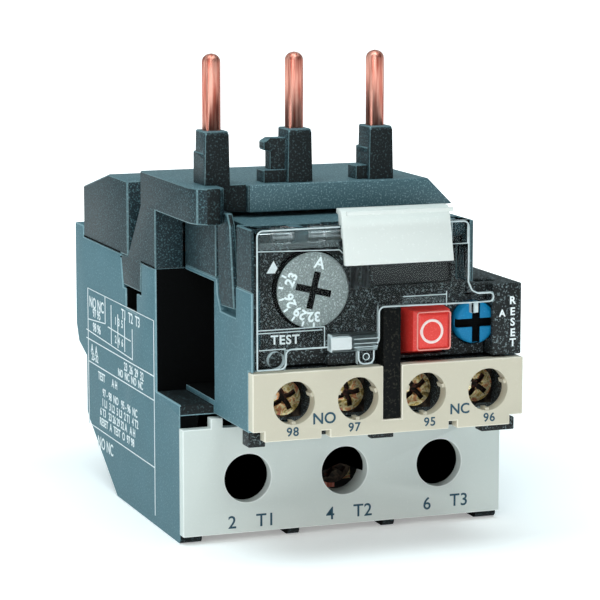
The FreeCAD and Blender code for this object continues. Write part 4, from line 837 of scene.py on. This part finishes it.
# blocks of the clear cover: x, y behind the front, z, surface, edge radius, all in mm
coverBlocks = {
    "coverBand": ((-21.5, -8.6), (0.07, 0.32), (49.75, 52.5), "hazyPolycarbonate", 0.08),
    "coverBandLight": ((-21.5, -8.5), (-0.08, 0.12), (49.75, 50.8), "hazyPolycarbonate", 0.08),
    "latchLeft": ((-10.4, -7.0), (-1.75, -0.2), (34.05, 36.0), "sunlitPolycarbonate", 0.2),
    "latchRight": ((-6.9, -2.62), (-1.7, -0.2), (34.05, 36.0), "hazyPolycarbonate", 0.2),
    "coverLip": ((2.0, 9.2), (-0.03, 0.27), (40.35, 41.35), "hazyPolycarbonate", 0.08),
    "coverTab": ((14.0, 14.7), (-0.03, 0.47), (38.3, 39.9), "polycarbonateEdgeHighlight", 0.08),
    "latchGuideLeft": ((-5.75, -5.2), (0.87, 2.57), (43.0, 46.7), "frostedPolycarbonate", 0.08),
    "latchGuideRight": ((-3.9, -3.4), (0.87, 2.57), (43.0, 46.7), "frostedPolycarbonate", 0.08),
}
for name, (x, (near, deep), z, surface, soft) in coverBlocks.items():
    slab(name, x, (front + near, front + deep), z, surface, *cover, soft)

# black blocks in the notches of the ivory front and under its middle: painted shade, where the black carrier lies
# # in shadow behind
carrier = ("glassFilledPolyamideBlack", "housing", "black_plastic")
for low, high in ((-10.7, -9.1), (10.7, 12.3)):
    slab("notchBacking%d" % high, (low, high), (-37.35, -36.7), (20.3, 21.6), *carrier)
slab("carrierToe", (-2.2, 1.6), (-37.2, -35.6), (19.0, 20.4), *carrier, 0.15)

# the marker's folded top edge
low, high = (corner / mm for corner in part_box("marker_plate"))
slab("markerFold", (low.x + 0.15, high.x - 0.15), (low.y, low.y + 0.5), (high.z - 0.75, high.z - 0.1),
     "whitePolystyrene", bodyOf("marker_plate"), slotOf("marker_plate"), 0.1)
print("clear cover: done")

ink = {"lift": 0.01 * mm, "thickness": 0.02 * mm}
capitalShare = 0.7      # height of a capital letter in the built-in face, for a size of 1


def printMark(name, text, height, place, surface, body, turn=0.0, bold=0.0, spacing=1.0, onSide=False):
    curve = bpy.data.curves.new(name, "FONT")
    curve.body = text
    curve.size = height * mm / capitalShare
    curve.align_x = "CENTER"
    curve.align_y = "CENTER"
    curve.space_character = spacing
    curve.offset = bold * mm
    curve.extrude = ink["thickness"]
    curve.resolution_u = 4
    mesh = finishedMesh(newObject(name + "Curve", curve))
    stand = Matrix.Rotation(math.pi / 2, 4, "X")
    if onSide:
        stand = Matrix.Rotation(-math.pi / 2, 4, "Z") @ stand
    mesh.transform(Matrix.Translation(place) @ stand @ Matrix.Rotation(turn, 4, "Z"))
    mesh.materials.clear()
    return newPiece(name, mesh, body, surface)


def spotOn(node, start, direction):
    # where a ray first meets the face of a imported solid
    solid = frame["nodes"][node].data
    tree = BVHTree.FromPolygons([v.co for v in solid.vertices], [p.vertices for p in solid.polygons])
    return tree.ray_cast(Vector(start), Vector(direction))[0]


def onFace(node, x, z):
    return spotOn(node, (x * mm, -0.2, z * mm), (0, 1, 0)) - Vector((0, ink["lift"], 0))


# marks on the front: x, z and height in mm
printedGroups = [
    {"node": "main_terminal_shroud", "surface": "tealInk", "prefix": "mark", "bold": 0.03, "spacing": 1.05,
     "marks": {"2": (-19.3, 3.15, 2.05), "T1": (-13.6, 3.15, 2.05), "4": (-2.5, 3.25, 2.05),
               "T2": (3.15, 3.35, 2.05), "6": (14.5, 3.5, 2.05), "T3": (20.2, 3.7, 2.05)}},
    {"node": "control_terminal_shroud", "surface": "tealInk", "prefix": "mark", "bold": 0.035, "spacing": 1.1,
     "marks": {"98": (-16.05, 21.5, 1.35), "97": (-5.95, 21.55, 1.35), "95": (6.65, 21.5, 1.35),
               "96": (16.75, 21.5, 1.35)}},
    {"node": "control_terminal_shroud", "surface": "tealInk", "prefix": "mark", "bold": 0.045, "spacing": 1.0,
     "marks": {"NO": (-10.9, 23.25, 1.7), "NC": (11.7, 23.2, 1.6)}},
    {"node": "control_fascia", "surface": "whiteInk", "prefix": "mark", "bold": 0.05, "spacing": 1.12,
     "marks": {"TEST": (-16.05, 35.25, 1.37)}},
    {"node": "reset_shroud", "surface": "whiteInk", "prefix": "reset", "bold": 0.05, "spacing": 1.0,
     "marks": {"R": (20.94, 39.71, 1.2), "E": (20.97, 37.94, 1.2), "S": (21.0, 36.27, 1.2),
               "E2": (21.02, 34.59, 1.2), "T": (21.05, 33.02, 1.2), "A": (19.2, 37.75, 1.05)}},
]
for group in printedGroups:
    node = group["node"]
    for label, (x, z, height) in group["marks"].items():
        text = label[0] if group["prefix"] == "reset" else label      # the second E of RESET
        printMark(group["prefix"] + label, text, height, onFace(node, x, z), group["surface"], bodyOf(node),
                  bold=group["bold"], spacing=group["spacing"])

# dial: angle in degrees, radius, height and boldness in mm, and letter spacing
dialMarks = {text: (degrees, 4.0, 1.45, 0.07, 1.05)
             for text, degrees in (("23", 153), ("26", 200), ("29", 237), ("32", 270))}
dialMarks["A"] = (76.5, 4.2, 1.75, 0.04, 1.0)
dialMiddle = (-12.0, 42.95)
dialCentre = Vector((dialMiddle[0] * mm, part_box("setting_dial")[0].y, dialMiddle[1] * mm))
for text, (degrees, radius, height, bold, spacing) in dialMarks.items():
    angle = math.radians(degrees)
    spot = dialCentre + Vector((math.cos(angle) * radius * mm, -ink["lift"], math.sin(angle) * radius * mm))
    printMark("dial" + text, text, height, spot, "whiteInk", "setting_dial", turn=angle - math.pi / 2,
              bold=bold, spacing=spacing)
grown("dialGraduation", [dialCentre], graduation,
      {"Count": 7, "Start": math.radians(154), "Step": math.radians(19.33), "Radius": 5.35 * mm, "Length": 0.8 * mm,
       "Width": 0.3 * mm, "Thickness": 0.04 * mm}, "whiteInk", "setting_dial")


def flatShape(name, corners, y, surface, body):
    # a printed patch of the ink's thickness
    made = bmesh.new()
    made.faces.new([made.verts.new((x * mm, y, z * mm)) for x, z in corners])
    thick = bmesh.ops.extrude_face_region(made, geom=list(made.faces))
    for item in thick["geom"]:
        if isinstance(item, bmesh.types.BMVert):
            item.co.y -= ink["thickness"]
    bmesh.ops.recalc_face_normals(made, faces=made.faces)
    mesh = bpy.data.meshes.new(name)
    made.to_mesh(mesh)
    made.free()
    return newPiece(name, mesh, body, surface)


# pointer of the current setting, and the shadow gap round the dial
fasciaInk = onFace("control_fascia", -17.86, 46.2).y
flatShape("settingPointer", [(-17.83, 47.49), (-18.97, 45.6), (-16.79, 45.56)], fasciaInk, "whiteInk", "housing")
beads("dialGap", [], [ring(*dialMiddle, fasciaInk / mm, 6.0, 48)], 0.4, 0.0, "shadedPolyamideBlack", "housing",
      "black_plastic")


def onLeft(node, points):
    # spots on the left wall of a node, by depth behind the ivory front and by height, in mm
    hits = [spotOn(node, (-0.2, ivoryFront + depth * mm, z * mm), (1, 0, 0)) for depth, z in points]
    return [tuple(hit) for hit in hits if hit]


def onLabel(points):
    # spots on the plane of the label printed on the left wall
    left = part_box("lower_housing")[0].x - ink["lift"]
    return [(left, ivoryFront + depth * mm, z * mm) for depth, z in points]


seams = [("lower_housing", [(53.1, 42.2), (51.8, 37.45), (41.8, 37.45), (41.2, 42.0)]),
         ("rear_cover", [(53.2, 42.9), (75.5, 42.9)]),
         ("upper_cover", [(33.7, 42.85), (41.0, 42.85)]),
         ("upper_cover", [(31.9, 51.5), (31.9, 57.2)])]
beads("coverSeam", [onLeft(node, line) for node, line in seams], [], 0.3, 0.0, "shadedPolyamideBlack", "housing",
      "housing_plastic")

# rating field and connection scheme; the text holds only terminal names and marks
labelLines = [[(34.3, 1.7), (34.3, 34.1), (73.6, 33.9), (73.6, 9.6)], [(62.7, 34.0), (62.7, 29.2)],
              [(62.6, 29.2), (73.5, 28.4)], [(46.5, 25.6), (74.7, 26.4)], [(46.5, 25.6), (46.5, 30.8)],
              [(34.4, 24.9), (74.7, 24.9)], [(34.4, 20.9), (73.6, 20.9)], [(34.4, 9.7), (72.0, 9.7)],
              [(59.0, 33.0), (59.0, 26.2)], [(55.0, 32.0), (55.0, 26.2)], [(51.0, 32.0), (51.0, 26.2)],
              [(47.5, 28.6), (61.0, 28.9)]]
beads("labelLine", [onLabel(line) for line in labelLines], [], 0.2, 0.0, "whiteInk", "housing", "housing_plastic")
# text, depth, height above the base and letter height in mm
labelRows = [("NO NC", 68.2, 31.6, 1.9), ("97 95", 68.2, 29.9, 1.5), ("98 96", 68.2, 27.4, 1.5),
             ("T1  T2  T3", 47.5, 32.4, 1.7), ("1  3  5", 54.5, 30.6, 1.3), ("2  4  6", 54.5, 27.4, 1.3),
             ("A  A", 70.0, 23.4, 1.5), ("23-32", 69.6, 22.0, 1.3), ("23  26  29  32", 46.0, 23.6, 1.4),
             ("NO  NC  NO  NC", 48.0, 22.0, 1.3), ("TEST", 65.5, 19.3, 1.4), ("A H", 57.5, 19.4, 1.4),
             ("97 - 98  NO   95 - 96  NC", 54.5, 16.7, 1.35), ("1 L1  3 L2  5 L3  2 T1  4 T2", 54.5, 14.9, 1.35),
             ("6 T3   23 26 29 32 A   A H", 56.0, 13.1, 1.35), ("RESET  A  TEST  O  97 98", 56.5, 11.3, 1.35),
             ("NO NC", 63.5, 7.4, 2.0)]
for index, (text, depth, z, height) in enumerate(labelRows):
    printMark("label%d" % index, text, height, onLabel([(depth, z)])[0], "whiteInk", "housing",
              bold=0.03, onSide=True)

# stop button: a rose line along the edges of its face, a painted highlight where the chamfer catches the light,
# # and a raised pink ring
stopSquare = [(4.75, 32.8), (10.25, 32.8), (10.25, 38.7), (4.75, 38.7)]
stop = ("stop_button", "red_plastic")      # body and slot
beads("stopEdge", [], [onFront(stopFront / mm + 0.04, stopSquare)], 0.22, 0.4, "roseEdgeHighlight", *stop)
beads("stopRing", [], [ring(7.15, 35.68, stopFront / mm + 0.1, 1.72, 40)], 0.55, 0.0, "pinkInk", *stop)
print("printed marks: done")


def aim(obj, place, back, up):
    right = up.cross(back).normalized()
    turn = Matrix((right, back.cross(right).normalized(), back)).transposed()
    obj.matrix_world = Matrix.Translation(place) @ turn.to_4x4()


cameraLook = {"place": Vector((-0.15209, -0.41099, 0.10394)), "back": Vector((-0.34243, -0.92669, 0.15488)),
              "up": Vector((0.05368, 0.14528, 0.98794)), "focal": 158.65, "sensor": 36}
lens = bpy.data.cameras.new("camera")
lens.lens = cameraLook["focal"]
lens.sensor_width = cameraLook["sensor"]
lens.clip_start, lens.clip_end = 0.01, 20
camera = newObject("camera", lens)
aim(camera, cameraLook["place"], cameraLook["back"].normalized(), cameraLook["up"])
bpy.context.scene.camera = camera

# softboxes: place and size in metres, power in watts
softboxes = {
    "keyLight": {"place": (-0.45, -0.75, 0.5), "size": (0.5, 0.4), "power": 1.75, "colour": "#FFFFFF"},
    "leftLight": {"place": (-0.9, 0.1, 0.4), "size": (0.7, 0.5), "power": 0.8, "colour": "#D2F0F5"},
    "topLight": {"place": (-0.1, -0.2, 0.95), "size": (0.9, 0.6), "power": 8.0, "colour": "#E4F4F7"},
    "frontFill": {"place": (-0.6, -0.85, 0.08), "size": (0.4, 0.3), "power": 2.2, "colour": "#FFFFFF"},
}
lightTarget = Vector((0, 0, 0.03))
for name, box in softboxes.items():
    light = bpy.data.lights.new(name, "AREA")
    light.shape = "RECTANGLE"
    light.size, light.size_y = box["size"]
    light.energy = box["power"]
    light.color = linearColour(box["colour"])[:3]
    place = Vector(box["place"])
    aim(newObject(name, light), place, (place - lightTarget).normalized(), Vector((0, 0, 1)))

# a white backdrop for the camera, and a pale room that is brighter behind the relay for everything else
room = {"colour": "#D8EBEF", "dim": 0.14, "bright": 0.55}
studio = bpy.data.worlds.new("studio")
bpy.context.scene.world = studio
studio.use_nodes = True
sky = studio.node_tree
sky.nodes.clear()
direction = addNode(sky, "ShaderNodeTexCoord", {}).outputs["Generated"]
axes = addNode(sky, "ShaderNodeSeparateXYZ", {"Vector": direction})
behind = addNode(sky, "ShaderNodeMapRange", {
    "From Min": -0.5, "From Max": 0.6, "To Min": room["dim"], "To Max": room["bright"], "Value": axes.outputs["Y"]})
glow = addNode(sky, "ShaderNodeBackground", {"Color": linearColour(room["colour"]), "Strength": behind})
backdrop = addNode(sky, "ShaderNodeBackground", {"Color": linearColour("#FFFFFF"), "Strength": 1.0})
seen = addNode(sky, "ShaderNodeLightPath", {}).outputs["Is Camera Ray"]
shown = addNode(sky, "ShaderNodeMixShader", {0: seen, 1: glow, 2: backdrop})
addNode(sky, "ShaderNodeOutputWorld", {"Surface": shown})

# white paper floor that glows more and more away from the relay, so that it runs into the backdrop
paperLook = {"size": 3, "colour": "#FAFBFB", "near": 0.06, "away": 0.4, "nearGlow": 0.28, "awayGlow": 0.95}
floorMesh = bpy.data.meshes.new("studioFloor")
floorMesh.from_pydata([(x * paperLook["size"], y * paperLook["size"], 0)
                       for x, y in ((-1, -1), (1, -1), (1, 1), (-1, 1))], [], [(0, 1, 2, 3)])
paper, paperTree, paperPlace, paperShader = startMaterial("whitePaper")
away = addNode(paperTree, "ShaderNodeVectorMath", {"operation": "LENGTH", 0: paperPlace}).outputs["Value"]
glowing = addNode(paperTree, "ShaderNodeMapRange", {
    "From Min": paperLook["near"], "From Max": paperLook["away"], "To Min": paperLook["nearGlow"],
    "To Max": paperLook["awayGlow"], "Value": away})
setNode(paperTree, paperShader, {
    "Base Color": linearColour(paperLook["colour"]), "Roughness": 0.9, "Emission Color": linearColour("#FFFFFF"),
    "Emission Strength": glowing})
floorMesh.materials.append(paper)
newObject("studioFloor", floorMesh)
bpy.context.scene.view_settings.view_transform = "Standard"
print("camera and lights: done")
